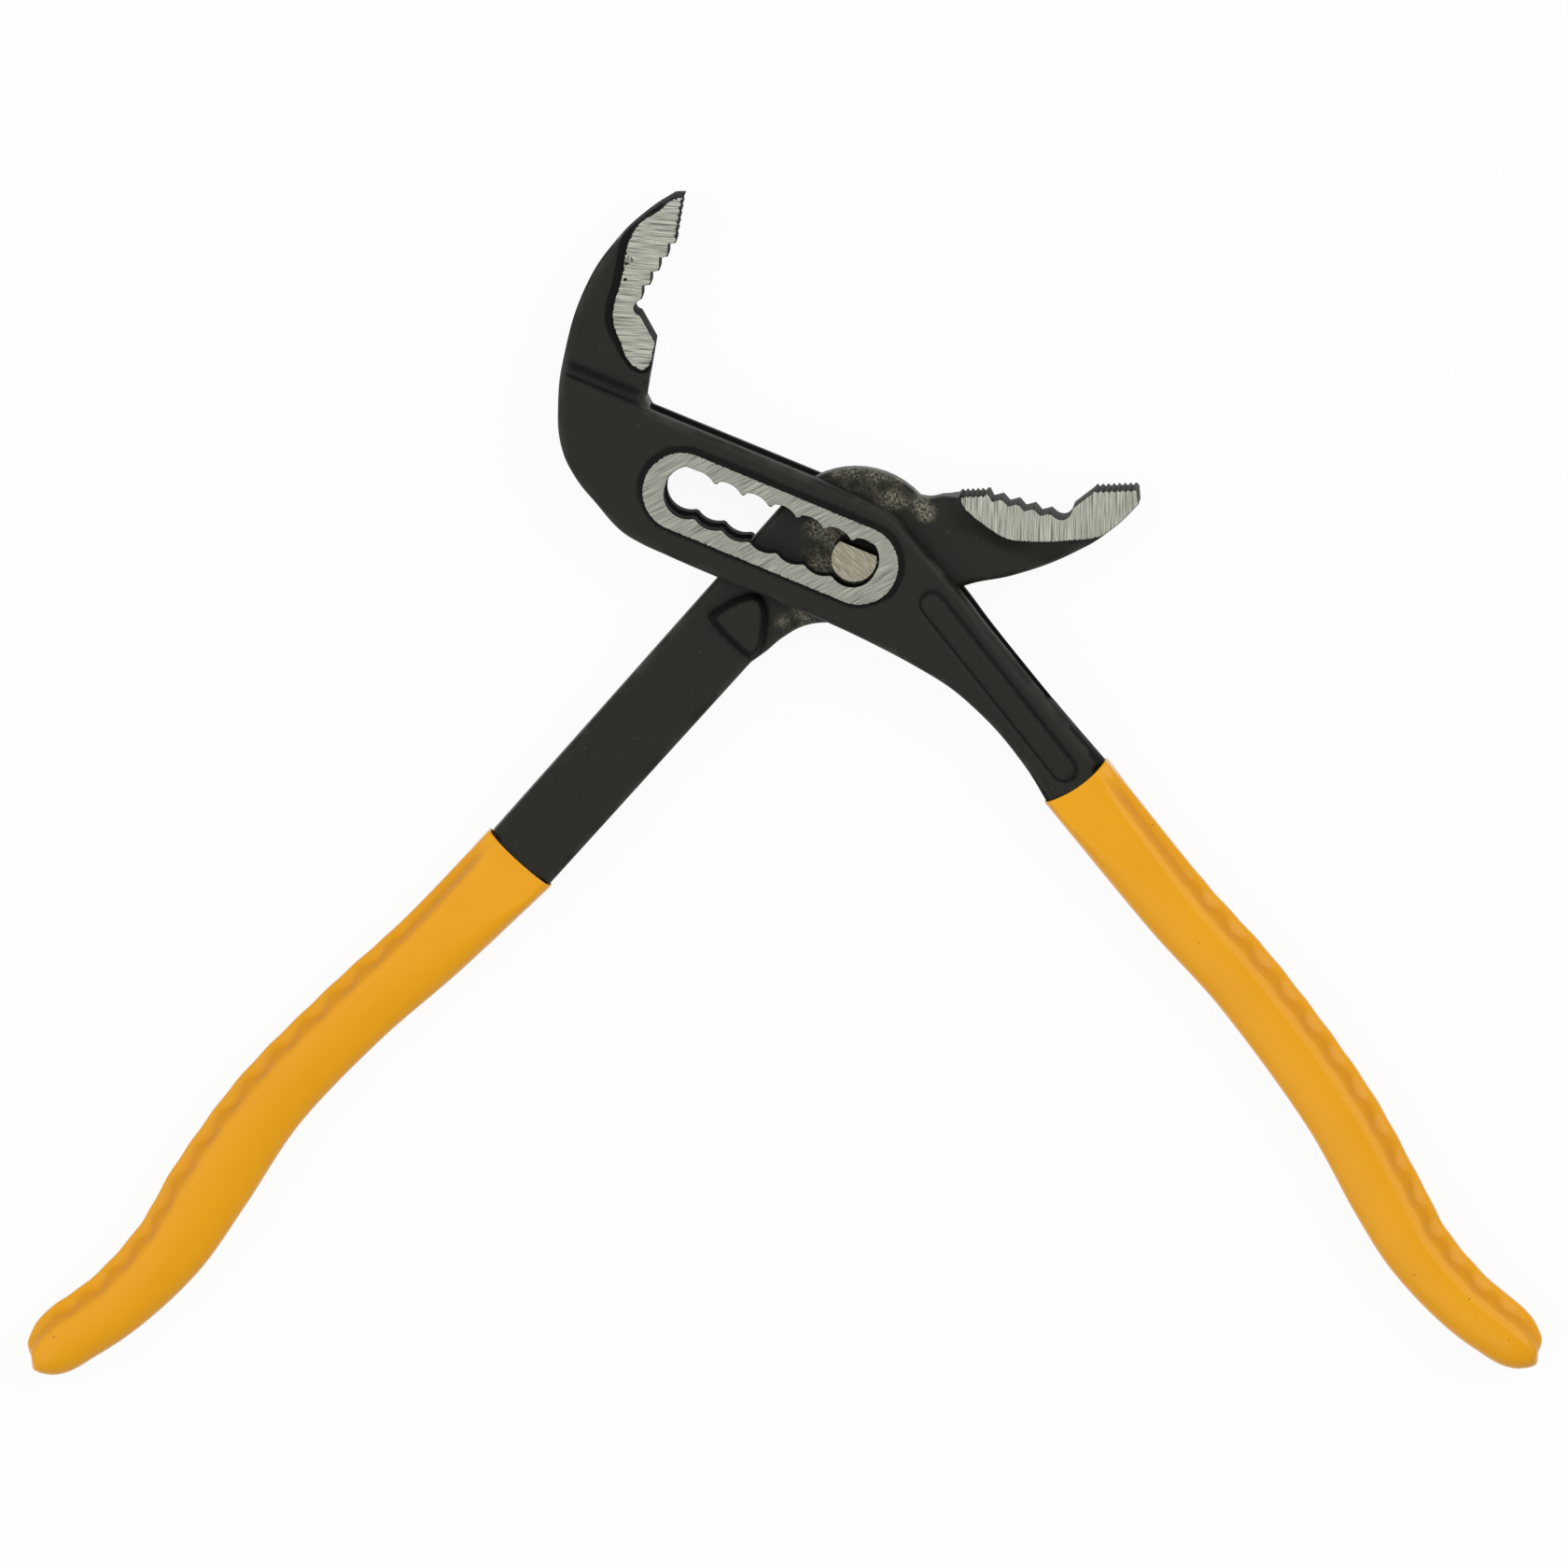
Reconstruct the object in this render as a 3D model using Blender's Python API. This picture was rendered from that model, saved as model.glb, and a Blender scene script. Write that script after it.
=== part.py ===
"""Box-joint water pump pliers, lying flat and wide open, as five separate pieces.

The pivot axis is the world Z axis, the tool rests on its back slot pad at z = 0, and +Y points
from the handles towards the jaws. All lengths are in metres.
"""

from math import acos, asin, ceil, cos, pi, radians, sin, sqrt

import bmesh
import bpy
import numpy as np
from mathutils import Matrix, Vector

# Thicknesses, measured both ways from the middle plane of the tool
SLOT_PAD_HALF = 0.0080
CHEEK_HALF = 0.0073
JAW_BODY_HALF = 0.0046
JAW_PAD_HALF = 0.0055
HUB_HALF = 0.0032
STOP_BOSS_HALF = 0.0055
HANDLE_END_HALF = 0.0044
TANG_HALF = 0.0030
TANG_CHAMFER = 0.0026
EDGE_CHAMFER = 0.0007
PAD_SLOPE = 0.0009
PAD_SINK = 0.0003
BOSS_CHAMFER = 0.0004

# Clearances between pieces that slide, turn or are dipped over each other
SLIT_CLEARANCE = 0.0003
SLIT_HUB_CLEARANCE = 0.0006
BORE_CLEARANCE = 0.00015
SLOT_END_CLEARANCE = 0.0003
GRIP_CLEARANCE = 0.00015
MOUTH_CLEARANCE = 0.0003

# Pivot pin and the toothed slot that it rides in
PIN_RADIUS = 0.0041
PIN_FLAT_HEIGHT = 0.0021
SLOT_ANGLE = radians(22.55)
SLOT_SEATS = 7
SEAT_PITCH = 0.00524
SEAT_CLEARANCE = 0.0002
SEAT_DROP = 0.0007
CHANNEL_CLEARANCE = 0.0002
TOOTH_CLEARANCE = 0.0004
TOOTH_TIP_WIDTH = 0.00045
NOTCH_SHIFT = 0.00064
NOTCH_DROP = 0.0004
NOTCH_REACH = 0.00158
INMOST_END_SWEEP = radians(60)
INMOST_NOTCH_START = radians(80)
OUTMOST_NOTCH_END = radians(105)
OUTMOST_END_START = radians(122)
SLOT_PAD_RADIUS = 0.0070
SLOT_PAD_OVERHANG = 0.0012

# Through arm: round hub and straight handle bar
HUB_RADIUS = 0.0156
HUB_ARC_START = radians(45)
BAR_ANGLE = radians(228.1)
BAR_WIDTH = 0.0137

# Handles: (x, y, grip width) down the middle of each, from the mouth of its grip to its end
SLOTTED_HANDLE_PATH = (
    (0.0388, -0.0401, 0.0133),
    (0.0563, -0.0618, 0.0130),
    (0.0697, -0.0769, 0.0129),
    (0.0847, -0.0975, 0.0130),
    (0.0938, -0.1139, 0.0130),
    (0.0998, -0.1240, 0.0121),
    (0.1092, -0.1340, 0.0114),
    (0.1203, -0.1413, 0.0110),
)
THROUGH_HANDLE_PATH = (
    (-0.0589, -0.0535, 0.0148),
    (-0.0746, -0.0691, 0.0136),
    (-0.0890, -0.0820, 0.0131),
    (-0.1037, -0.0971, 0.0135),
    (-0.1143, -0.1122, 0.0144),
    (-0.1218, -0.1237, 0.0133),
    (-0.1324, -0.1342, 0.0120),
    (-0.1460, -0.1427, 0.0116),
)
SLOTTED_HANDLE_WIDTH = 0.0126
GRIP_WALL = 0.0013
GRIP_ROUND = 0.0030
GRIP_FLANK = 0.0042
GRIP_EDGE = 0.0032
GRIP_END_ROUND = 0.0050
GRIP_END_SHARE = 0.45
GRIP_END_RINGS = (0.5, 0.2, 0.05)
SCALLOP_PITCH = 0.0045
SCALLOP_DEPTH = 0.0007
SCALLOP_START = 0.026
SCALLOP_END_GAP = 0.018
TANG_ROOT = 0.010
TANG_TIP_GAP = 0.0080

# Slotted arm outlines seen from the front: (x, y), and "smooth" where the edge has no corner
SLOTTED_JAW_OUTLINE = (
    (-0.0298, 0.0640),
    (-0.0319, 0.0640),
    (-0.0360, 0.0614, "smooth"),
    (-0.0424, 0.0555, "smooth"),
    (-0.0477, 0.0475, "smooth"),
    (-0.0513, 0.0362, "smooth"),
    (-0.0523, 0.0274, "smooth"),
    (-0.0512, 0.0195),
    (-0.0380, 0.0195),
    (-0.0365, 0.0282),
    (-0.0348, 0.0382),
)
SLOTTED_JAW_PAD = (
    (-0.0280, 0.0628),
    (-0.0318, 0.0628),
    (-0.0342, 0.0614, "smooth"),
    (-0.0380, 0.0588, "smooth"),
    (-0.0401, 0.0550, "smooth"),
    (-0.0408, 0.0512, "smooth"),
    (-0.0424, 0.0451, "smooth"),
    (-0.0426, 0.0417, "smooth"),
    (-0.0400, 0.0351, "smooth"),
    (-0.0376, 0.0333, "smooth"),
    (-0.0354, 0.0350, "smooth"),
    (-0.0310, 0.0382),
)
CHEEK_JAW_SIDE = (
    (-0.0059, 0.0138),
    (-0.0360, 0.0262),
    (-0.0521, 0.0328),
    (-0.0525, 0.0274, "smooth"),
    (-0.0518, 0.0195, "smooth"),
    (-0.0493, 0.0141, "smooth"),
    (-0.0457, 0.0096, "smooth"),
    (-0.0413, 0.0047, "smooth"),
    (-0.0380, 0.0026),
    (0.0135, -0.0210),
    (0.0213, -0.0271, "smooth"),
    (0.0296, -0.0368, "smooth"),
)
CHEEK_HANDLE_SIDE = (
    (0.0348, -0.0259, "smooth"),
    (0.0235, -0.0121, "smooth"),
    (0.0192, -0.0065, "smooth"),
    (0.0145, -0.0010, "smooth"),
    (0.0098, 0.0045, "smooth"),
    (0.0073, 0.0073, "smooth"),
    (0.0020, 0.0102, "smooth"),
)
SLIT_ARC_START = radians(80)
SLIT_HANDLE_END = ((0.0150, -0.0223), (0.0348, -0.0259))
HANDLE_TAPER_START = (0.0192, -0.0065)

# Through arm outlines
THROUGH_BAR_CORNER = (
    (-0.0185, -0.0190),
    (-0.0160, -0.0172, "smooth"),
    (-0.0127, -0.0145, "smooth"),
    (-0.0086, -0.0124, "smooth"),
)
THROUGH_JAW_OUTLINE = (
    (0.0000, -0.0118, "smooth"),
    (0.0100, -0.0095, "smooth"),
    (0.0197, -0.0052, "smooth"),
    (0.0281, -0.0034, "smooth"),
    (0.0377, 0.0002, "smooth"),
    (0.0464, 0.0058, "smooth"),
    (0.0502, 0.0095),
    (0.0502, 0.0123),
    (0.0195, 0.0123),
    (0.0143, 0.0101, "smooth"),
)
THROUGH_JAW_PAD = (
    (0.0492, 0.0140),
    (0.0189, 0.0140),
    (0.0189, 0.0097),
    (0.0211, 0.0071, "smooth"),
    (0.0247, 0.0044, "smooth"),
    (0.0283, 0.0032, "smooth"),
    (0.0408, 0.0037, "smooth"),
    (0.0430, 0.0049, "smooth"),
    (0.0455, 0.0068, "smooth"),
    (0.0492, 0.0103),
)
STOP_BOSS_OUTLINE = (
    (-0.0255, -0.0101),
    (-0.0181, -0.0066),
    (-0.0159, -0.0082),
    (-0.0159, -0.0136, "smooth"),
    (-0.0176, -0.0178),
    (-0.0192, -0.0178),
    (-0.0255, -0.0113),
)

# Jaw teeth: fine rows, coarse pipe teeth and a round pocket, from one end of each jaw to the other
FINE_TOOTH_DEPTH = 0.0005
COARSE_TEETH = 4
SLOTTED_FINE_TEETH = 7
SLOTTED_FINE_ROW = ((-0.0300, 0.0645), (-0.0315, 0.0559))
SLOTTED_COARSE_TIP = (-0.0329, 0.0535)
SLOTTED_COARSE_STEP = (-0.00153, -0.00250)
SLOTTED_COARSE_ROOT = (0.0001, 0.0018)
SLOTTED_POCKET = ((-0.0386, 0.0450), (-0.0391, 0.0438, "smooth"), (-0.0380, 0.0425))
SLOTTED_MOUTH_CORNERS = ((-0.0352, 0.0382), (-0.0369, 0.0282), (-0.0360, 0.0267))
THROUGH_MOUTH_START = (0.0155, 0.01045)
THROUGH_REAR_TEETH = 6
THROUGH_REAR_ROW = ((0.0182, 0.0108), (0.0235, 0.0110))
THROUGH_COARSE_TIP = (0.0260, 0.01015)
THROUGH_COARSE_STEP = (0.00277, -0.00077)
THROUGH_COARSE_ROOT = (-0.0012, -0.0004)
THROUGH_POCKET = ((0.0353, 0.00685), (0.0368, 0.0064, "smooth"), (0.0382, 0.00865))
THROUGH_TIP_TEETH = 8
THROUGH_TIP_ROW = ((0.0419, 0.01165), (0.0500, 0.0120))

# How far cutters run past the piece that they cut
CUT_MARGIN = 0.012
SLIT_TOP_MARGIN = 0.048
SLIT_BAR_REACH = 0.031
TAPER_CUT_HALF = 0.036

# How finely round shapes are divided
ARC_STEP = radians(10)
GRIP_ARC_STEP = radians(30)
ROUND_SEGMENTS = 64
CURVE_STEPS = 4
PATH_STEPS = 40
SMOOTH_ANGLE = radians(35)

MID_HEIGHT = SLOT_PAD_HALF
SLIT_HALF = HUB_HALF + SLIT_CLEARANCE
SLOT_LENGTH = (SLOT_SEATS - 1) * SEAT_PITCH
PATH_STEP = SCALLOP_PITCH / 2


def clear_scene():
    """Empties the scene and makes one collection for the pieces and one for the cutters."""
    for old in list(bpy.data.objects):
        bpy.data.objects.remove(old, do_unlink=True)
    pieces = bpy.data.collections.new("water_pump_pliers")
    helpers = bpy.data.collections.new("cutters")
    for collection in (pieces, helpers):
        bpy.context.scene.collection.children.link(collection)
    return pieces, helpers


PIECES, HELPERS = clear_scene()


def material(name, colour, roughness, metallic):
    made = bpy.data.materials.new(name)
    made.use_nodes = True
    shader = made.node_tree.nodes["Principled BSDF"]
    shader.inputs["Base Color"].default_value = (*colour, 1.0)
    shader.inputs["Roughness"].default_value = roughness
    shader.inputs["Metallic"].default_value = metallic
    return made


def mesh_object(name, shape, helper):
    """Turns a bmesh into a piece, or into a hidden helper that cuts or joins one."""
    bmesh.ops.recalc_face_normals(shape, faces=shape.faces)
    mesh = bpy.data.meshes.new(name)
    shape.to_mesh(mesh)
    shape.free()
    made = bpy.data.objects.new(name, mesh)
    if helper:
        HELPERS.objects.link(made)
        made.hide_render = True
        made.display_type = "WIRE"
    else:
        PIECES.objects.link(made)
    return made


def flat_solid(name, outline, half, chamfer=0.0, spread=0.0, helper=True):
    """A closed outline made solid, to the same depth on both sides of the middle plane.

    The chamfer takes a 45 degree edge off both faces, and spread moves the outline outwards.
    """
    curve = bpy.data.curves.new(name, "CURVE")
    curve.dimensions = "2D"
    curve.fill_mode = "BOTH"
    curve.resolution_u = CURVE_STEPS
    curve.extrude = half - chamfer
    curve.bevel_depth = chamfer
    curve.bevel_resolution = 0
    curve.offset = spread - chamfer
    spline = curve.splines.new("BEZIER")
    spline.bezier_points.add(len(outline) - 1)
    spline.use_cyclic_u = True
    for knot, point in zip(spline.bezier_points, outline):
        knot.co = (point[0], point[1], 0.0)
        kind = "AUTO" if len(point) > 2 else "VECTOR"
        knot.handle_left_type = kind
        knot.handle_right_type = kind
    drawn = bpy.data.objects.new(name + "_outline", curve)
    drawn.location = (0.0, 0.0, MID_HEIGHT)
    HELPERS.objects.link(drawn)
    bpy.context.view_layer.update()
    seen = drawn.evaluated_get(bpy.context.evaluated_depsgraph_get())
    mesh = bpy.data.meshes.new_from_object(seen)
    shape = bmesh.new()
    shape.from_mesh(mesh)
    bpy.data.meshes.remove(mesh)
    bmesh.ops.remove_doubles(shape, verts=shape.verts, dist=1e-6)
    made = mesh_object(name, shape, helper)
    made.matrix_world = drawn.matrix_world
    bpy.data.objects.remove(drawn, do_unlink=True)
    return made


def cylinder(name, radius, bottom, top, helper=True):
    """An upright cylinder on the pivot axis."""
    shape = bmesh.new()
    height = top - bottom
    size = {"radius1": radius, "radius2": radius, "depth": height}
    bmesh.ops.create_cone(shape, cap_ends=True, segments=ROUND_SEGMENTS, **size)
    bmesh.ops.translate(shape, verts=shape.verts, vec=(0.0, 0.0, bottom + height / 2))
    return mesh_object(name, shape, helper)


def shade_round(piece):
    piece.data.shade_smooth()
    piece.data.set_sharp_from_angle(angle=SMOOTH_ANGLE)


def boolean(piece, other, operation):
    step = piece.modifiers.new(other.name, "BOOLEAN")
    step.operation = operation
    step.solver = "EXACT"
    step.object = other


def cut(piece, *cutters):
    for cutter in cutters:
        boolean(piece, cutter, "DIFFERENCE")


def join(piece, *others):
    for other in others:
        boolean(piece, other, "UNION")


def slot_point(along, up):
    """A point given along the slot from the pivot towards the jaw, and square to it."""
    x = -along * cos(SLOT_ANGLE) + up * sin(SLOT_ANGLE)
    y = along * sin(SLOT_ANGLE) + up * cos(SLOT_ANGLE)
    return x, y


def arc(centre, radius, start, end, step=ARC_STEP):
    angles = np.linspace(start, end, ceil(abs(end - start) / step) + 1)
    return [(centre[0] + radius * cos(angle), centre[1] + radius * sin(angle)) for angle in angles]


def slot_outline():
    """The toothed slot: round seats below, ratchet teeth above, round ends that clear the pin."""
    seat_radius = PIN_RADIUS + SEAT_CLEARANCE
    seat_spread = acos((PIN_RADIUS + CHANNEL_CLEARANCE - SEAT_DROP) / seat_radius)
    end_radius = PIN_RADIUS + SLOT_END_CLEARANCE
    tooth_tip = PIN_FLAT_HEIGHT + TOOTH_CLEARANCE
    notch_rise = acos(NOTCH_REACH / seat_radius)
    notch_fall = pi - asin((tooth_tip + NOTCH_DROP) / seat_radius)
    points = []
    for seat in range(SLOT_SEATS):
        first = -pi if seat == 0 else -pi / 2 - seat_spread
        last = 0.0 if seat == SLOT_SEATS - 1 else -pi / 2 + seat_spread
        points += arc((seat * SEAT_PITCH, -SEAT_DROP), seat_radius, first, last)
    points += arc((SLOT_LENGTH, 0.0), end_radius, 0.0, INMOST_END_SWEEP)
    for seat in reversed(range(SLOT_SEATS)):
        centre = (seat * SEAT_PITCH - NOTCH_SHIFT, -NOTCH_DROP)
        first = INMOST_NOTCH_START if seat == SLOT_SEATS - 1 else notch_rise
        last = OUTMOST_NOTCH_END if seat == 0 else notch_fall
        points += arc(centre, seat_radius, first, last)
        if seat > 0:
            flank = centre[0] - SEAT_PITCH + NOTCH_REACH
            points += [(flank + TOOTH_TIP_WIDTH, tooth_tip), (flank, tooth_tip)]
    points += arc((0.0, 0.0), end_radius, OUTMOST_END_START, pi)
    return [slot_point(*point) for point in points]


def slot_pad_outline():
    """The ground oval round the slot."""
    end = SLOT_LENGTH + SLOT_PAD_OVERHANG
    around = arc((end, -SEAT_DROP), SLOT_PAD_RADIUS, -pi / 2, pi / 2)
    around += arc((-SLOT_PAD_OVERHANG, -SEAT_DROP), SLOT_PAD_RADIUS, pi / 2, 3 * pi / 2)
    return [slot_point(*point) for point in around]


def fine_teeth(row, count):
    """Fine teeth along a row, their tips on it and their roots on the right of its direction."""
    start = Vector(row[0])
    step = (Vector(row[1]) - start) / count
    inward = Vector((step.y, -step.x)).normalized() * FINE_TOOTH_DEPTH
    points = []
    for tooth in range(count):
        points.append(tuple(start + step * tooth + inward))
        points.append(tuple(start + step * (tooth + 0.5)))
    return points


def coarse_teeth(tip, step, root):
    """Coarse pipe teeth, each with its root just before its tip."""
    points = []
    for tooth in range(COARSE_TEETH):
        place = Vector(tip) + Vector(step) * tooth
        points.append(tuple(place + Vector(root)))
        points.append(tuple(place))
    return points


def smooth_path(points):
    """A smooth line through (x, y, width) points: places, directions, widths, distances."""
    knots = np.array(points)
    knots = np.vstack([2 * knots[0] - knots[1], knots, 2 * knots[-1] - knots[-2]])
    share = np.linspace(0.0, 1.0, PATH_STEPS, endpoint=False)[:, None]
    runs = []
    for before, start, end, after in zip(knots, knots[1:], knots[2:], knots[3:]):
        bend = 2 * before - 5 * start + 4 * end - after
        twist = 3 * start - before - 3 * end + after
        runs.append(start + share * (end - before + share * (bend + share * twist)) / 2)
    fine = np.vstack([*runs, knots[-2:-1]])
    reach = np.concatenate([[0.0], np.cumsum(np.hypot(*np.diff(fine[:, :2], axis=0).T))])
    distances = np.linspace(0.0, reach[-1], round(reach[-1] / PATH_STEP) + 1)
    stations = np.column_stack([np.interp(distances, reach, column) for column in fine.T])
    places, widths = stations[:, :2], stations[:, 2]
    directions = np.gradient(places, axis=0)
    directions /= np.hypot(*directions.T)[:, None]
    return places, directions, widths, distances


def path_length(path):
    return smooth_path(path)[-1][-1]


def loft(name, path, outer_side, section, start, end, helper=True):
    """Carries section(distance, width), a ring of (across, up) points, along a handle path."""
    places, directions, widths, distances = smooth_path(path)
    nearly = PATH_STEP / 4
    inside = distances[(distances > start + nearly) & (distances < end - nearly)]
    rounding = end - GRIP_END_ROUND * np.array(GRIP_END_RINGS)
    stations = np.unique(np.concatenate([[start], inside, rounding, [end]]))
    shape = bmesh.new()
    rings = []
    for distance in stations:
        place = Vector([np.interp(distance, distances, column) for column in places.T])
        ahead = Vector([np.interp(distance, distances, column) for column in directions.T])
        place += ahead * min(distance, 0.0)
        across = Vector((-ahead.y, ahead.x)) * outer_side
        ring = []
        for sideways, up in section(distance, np.interp(distance, distances, widths)):
            flat = place + across * sideways
            ring.append(shape.verts.new((flat.x, flat.y, MID_HEIGHT + up)))
        rings.append(ring)
    for ring, following in zip(rings, rings[1:]):
        for corner in range(len(ring)):
            before = corner - 1
            shape.faces.new((ring[before], ring[corner], following[corner], following[before]))
    shape.faces.new(rings[0])
    shape.faces.new(rings[-1])
    return mesh_object(name, shape, helper)


def mirrored_ring(upper):
    return upper + [(across, -up) for across, up in reversed(upper)]


def tang(name, path, outer_side, clearance=0.0):
    """A handle's tang or, with a clearance, the hollow that a grip has for it."""
    high = TANG_HALF + clearance

    def section(distance, width):
        wide = width / 2 - GRIP_WALL - GRIP_CLEARANCE + clearance
        corner = [(wide, high - TANG_CHAMFER), (wide - TANG_CHAMFER, high)]
        return mirrored_ring(corner + [(-across, up) for across, up in reversed(corner)])

    tip = path_length(path) - TANG_TIP_GAP + clearance
    return loft(name, path, outer_side, section, -TANG_ROOT, tip)


def grip(name, path, outer_side, finish):
    """A dipped sleeve: round inner edge, and an outer flank with a scalloped ridge for the hand."""
    length = path_length(path)

    def section(distance, width):
        left = min(1.0, (length - distance) / GRIP_END_ROUND)
        share = GRIP_END_SHARE + (1 - GRIP_END_SHARE) * sqrt(1 - (1 - left) ** 2)
        wide = share * width / 2
        high = share * (TANG_HALF + GRIP_CLEARANCE + GRIP_WALL)
        bend = share * GRIP_ROUND
        ridge = wide - share * GRIP_FLANK
        if SCALLOP_START < distance < length - SCALLOP_END_GAP:
            ridge -= SCALLOP_DEPTH * sin(pi * distance / SCALLOP_PITCH) ** 2
        upper = [(wide, share * GRIP_EDGE / 2), (ridge, high)]
        upper += arc((-wide + bend, high - bend), bend, pi / 2, pi, GRIP_ARC_STEP)
        return mirrored_ring(upper)

    made = loft(name, path, outer_side, section, MOUTH_CLEARANCE, length, helper=False)
    cut(made, tang(name + "_hollow", path, outer_side, GRIP_CLEARANCE))
    made.data.materials.append(finish)
    shade_round(made)
    return made


def handle_mouth(path, outer_side, width):
    """The outer and inner corners of a bare handle, where the mouth of its grip meets it."""
    places, directions, _, _ = smooth_path(path)
    across = Vector((-directions[0][1], directions[0][0])) * outer_side * width / 2
    return tuple(Vector(places[0]) + across), tuple(Vector(places[0]) - across)


def handle_taper(name, face):
    """A wedge that thins the slotted arm's handle, from the cheeks to the mouth of its grip."""
    start = Vector(HANDLE_TAPER_START)
    run = Vector(SLOTTED_HANDLE_PATH[0]).xy - start
    ahead = run.normalized()
    top = CHEEK_HALF + CUT_MARGIN
    far = run.length + CUT_MARGIN
    side_view = (
        (0.0, CHEEK_HALF),
        (run.length, HANDLE_END_HALF),
        (far, HANDLE_END_HALF),
        (far, top),
        (0.0, top),
    )
    wedge = flat_solid(name, side_view, TAPER_CUT_HALF)
    along, outward = Vector((ahead.x, ahead.y, 0.0)), Vector((0.0, 0.0, face))
    turn = Matrix((along, outward, along.cross(outward))).transposed()
    wedge.matrix_world = Matrix.Translation((start.x, start.y, MID_HEIGHT)) @ turn.to_4x4()
    return wedge


def slit_outline():
    """The gap between the cheeks: everywhere that the hub, bar and jaw root swing and slide."""
    inmost = Vector(slot_point(SLOT_LENGTH, 0.0))
    radius = HUB_RADIUS + SLIT_HUB_CLEARANCE
    tangent = BAR_ANGLE - pi / 2
    round_end = arc(inmost, radius, SLIT_ARC_START, tangent)
    bar = Vector((cos(BAR_ANGLE), sin(BAR_ANGLE)))
    beyond = Vector(round_end[-1]) + bar * SLIT_BAR_REACH
    low, high = (Vector(corner) for corner in SLIT_HANDLE_END)
    outside = (high - low).normalized() * CUT_MARGIN
    return [
        *round_end,
        tuple(beyond),
        tuple(low - outside - Vector((0.0, CUT_MARGIN))),
        tuple(low - outside),
        tuple(low),
        tuple(high),
        tuple(high + outside),
        tuple(high + outside + Vector((0.0, SLIT_TOP_MARGIN))),
    ]


def slotted_mouth_outline():
    """The toothed face of the slotted arm's jaw, closed off on the mouth's side."""
    teeth = fine_teeth(SLOTTED_FINE_ROW, SLOTTED_FINE_TEETH)
    teeth.append(SLOTTED_FINE_ROW[1])
    teeth += coarse_teeth(SLOTTED_COARSE_TIP, SLOTTED_COARSE_STEP, SLOTTED_COARSE_ROOT)
    face = [*teeth, *SLOTTED_POCKET, *SLOTTED_MOUTH_CORNERS]
    left, top = face[0][0], face[0][1] + CUT_MARGIN
    right = left + CUT_MARGIN
    return [*face, (right, face[-1][1]), (right, top), (left, top)]


def through_mouth_outline():
    """The toothed face of the through arm's jaw, closed off on the mouth's side."""
    teeth = fine_teeth(THROUGH_REAR_ROW, THROUGH_REAR_TEETH)
    teeth.append(THROUGH_REAR_ROW[1])
    teeth += coarse_teeth(THROUGH_COARSE_TIP, THROUGH_COARSE_STEP, THROUGH_COARSE_ROOT)
    teeth += THROUGH_POCKET
    teeth += fine_teeth(THROUGH_TIP_ROW, THROUGH_TIP_TEETH)
    face = [THROUGH_MOUTH_START, *teeth, THROUGH_TIP_ROW[1]]
    right, top = face[-1][0] + CUT_MARGIN, face[-1][1] + CUT_MARGIN
    return [*face, (right, face[-1][1]), (right, top), (face[0][0], top)]


def slotted_arm(finish):
    """Forging with the upper jaw, two cheeks round a slit, and a handle that ends in a tang."""
    outer, inner = handle_mouth(SLOTTED_HANDLE_PATH, 1, SLOTTED_HANDLE_WIDTH)
    cheeks = [*CHEEK_JAW_SIDE, inner, outer, *CHEEK_HANDLE_SIDE]
    arm = flat_solid("slotted_arm", cheeks, CHEEK_HALF, EDGE_CHAMFER, helper=False)
    cut(arm, handle_taper("handle_taper_front", 1), handle_taper("handle_taper_back", -1))
    join(arm, flat_solid("slotted_jaw", SLOTTED_JAW_OUTLINE, JAW_BODY_HALF, EDGE_CHAMFER))
    jaw_rise = JAW_PAD_HALF - JAW_BODY_HALF + PAD_SINK
    join(arm, flat_solid("slotted_jaw_pad", SLOTTED_JAW_PAD, JAW_PAD_HALF, jaw_rise, jaw_rise))
    slot_rise = SLOT_PAD_HALF - CHEEK_HALF + PAD_SINK
    join(arm, flat_solid("slot_pad", slot_pad_outline(), SLOT_PAD_HALF, slot_rise, slot_rise))
    join(arm, tang("slotted_tang", SLOTTED_HANDLE_PATH, 1))
    reach = SLOT_PAD_HALF + CUT_MARGIN
    cut(arm, flat_solid("slotted_mouth", slotted_mouth_outline(), reach))
    cut(arm, flat_solid("slit", slit_outline(), SLIT_HALF))
    cut(arm, flat_solid("toothed_slot", slot_outline(), reach))
    arm.data.materials.append(finish)
    return arm


def through_arm(finish):
    """Forging with the lower jaw, the hub that passes through the slit, a stop boss and a handle."""
    outer, inner = handle_mouth(THROUGH_HANDLE_PATH, -1, BAR_WIDTH)
    hub = arc((0.0, 0.0), HUB_RADIUS, HUB_ARC_START, BAR_ANGLE - pi / 2)
    around = [*hub, outer, inner, *THROUGH_BAR_CORNER, *THROUGH_JAW_OUTLINE]
    arm = flat_solid("through_arm", around, HUB_HALF, EDGE_CHAMFER, helper=False)
    join(arm, flat_solid("through_jaw_pad", THROUGH_JAW_PAD, JAW_PAD_HALF, PAD_SLOPE, PAD_SLOPE))
    join(arm, flat_solid("stop_boss", STOP_BOSS_OUTLINE, STOP_BOSS_HALF, BOSS_CHAMFER))
    join(arm, tang("through_tang", THROUGH_HANDLE_PATH, -1))
    reach = SLOT_PAD_HALF + CUT_MARGIN
    cut(arm, flat_solid("through_mouth", through_mouth_outline(), reach))
    cut(arm, cylinder("pin_bore", PIN_RADIUS + BORE_CLEARANCE, -CUT_MARGIN, 2 * reach))
    arm.data.materials.append(finish)
    return arm


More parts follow.
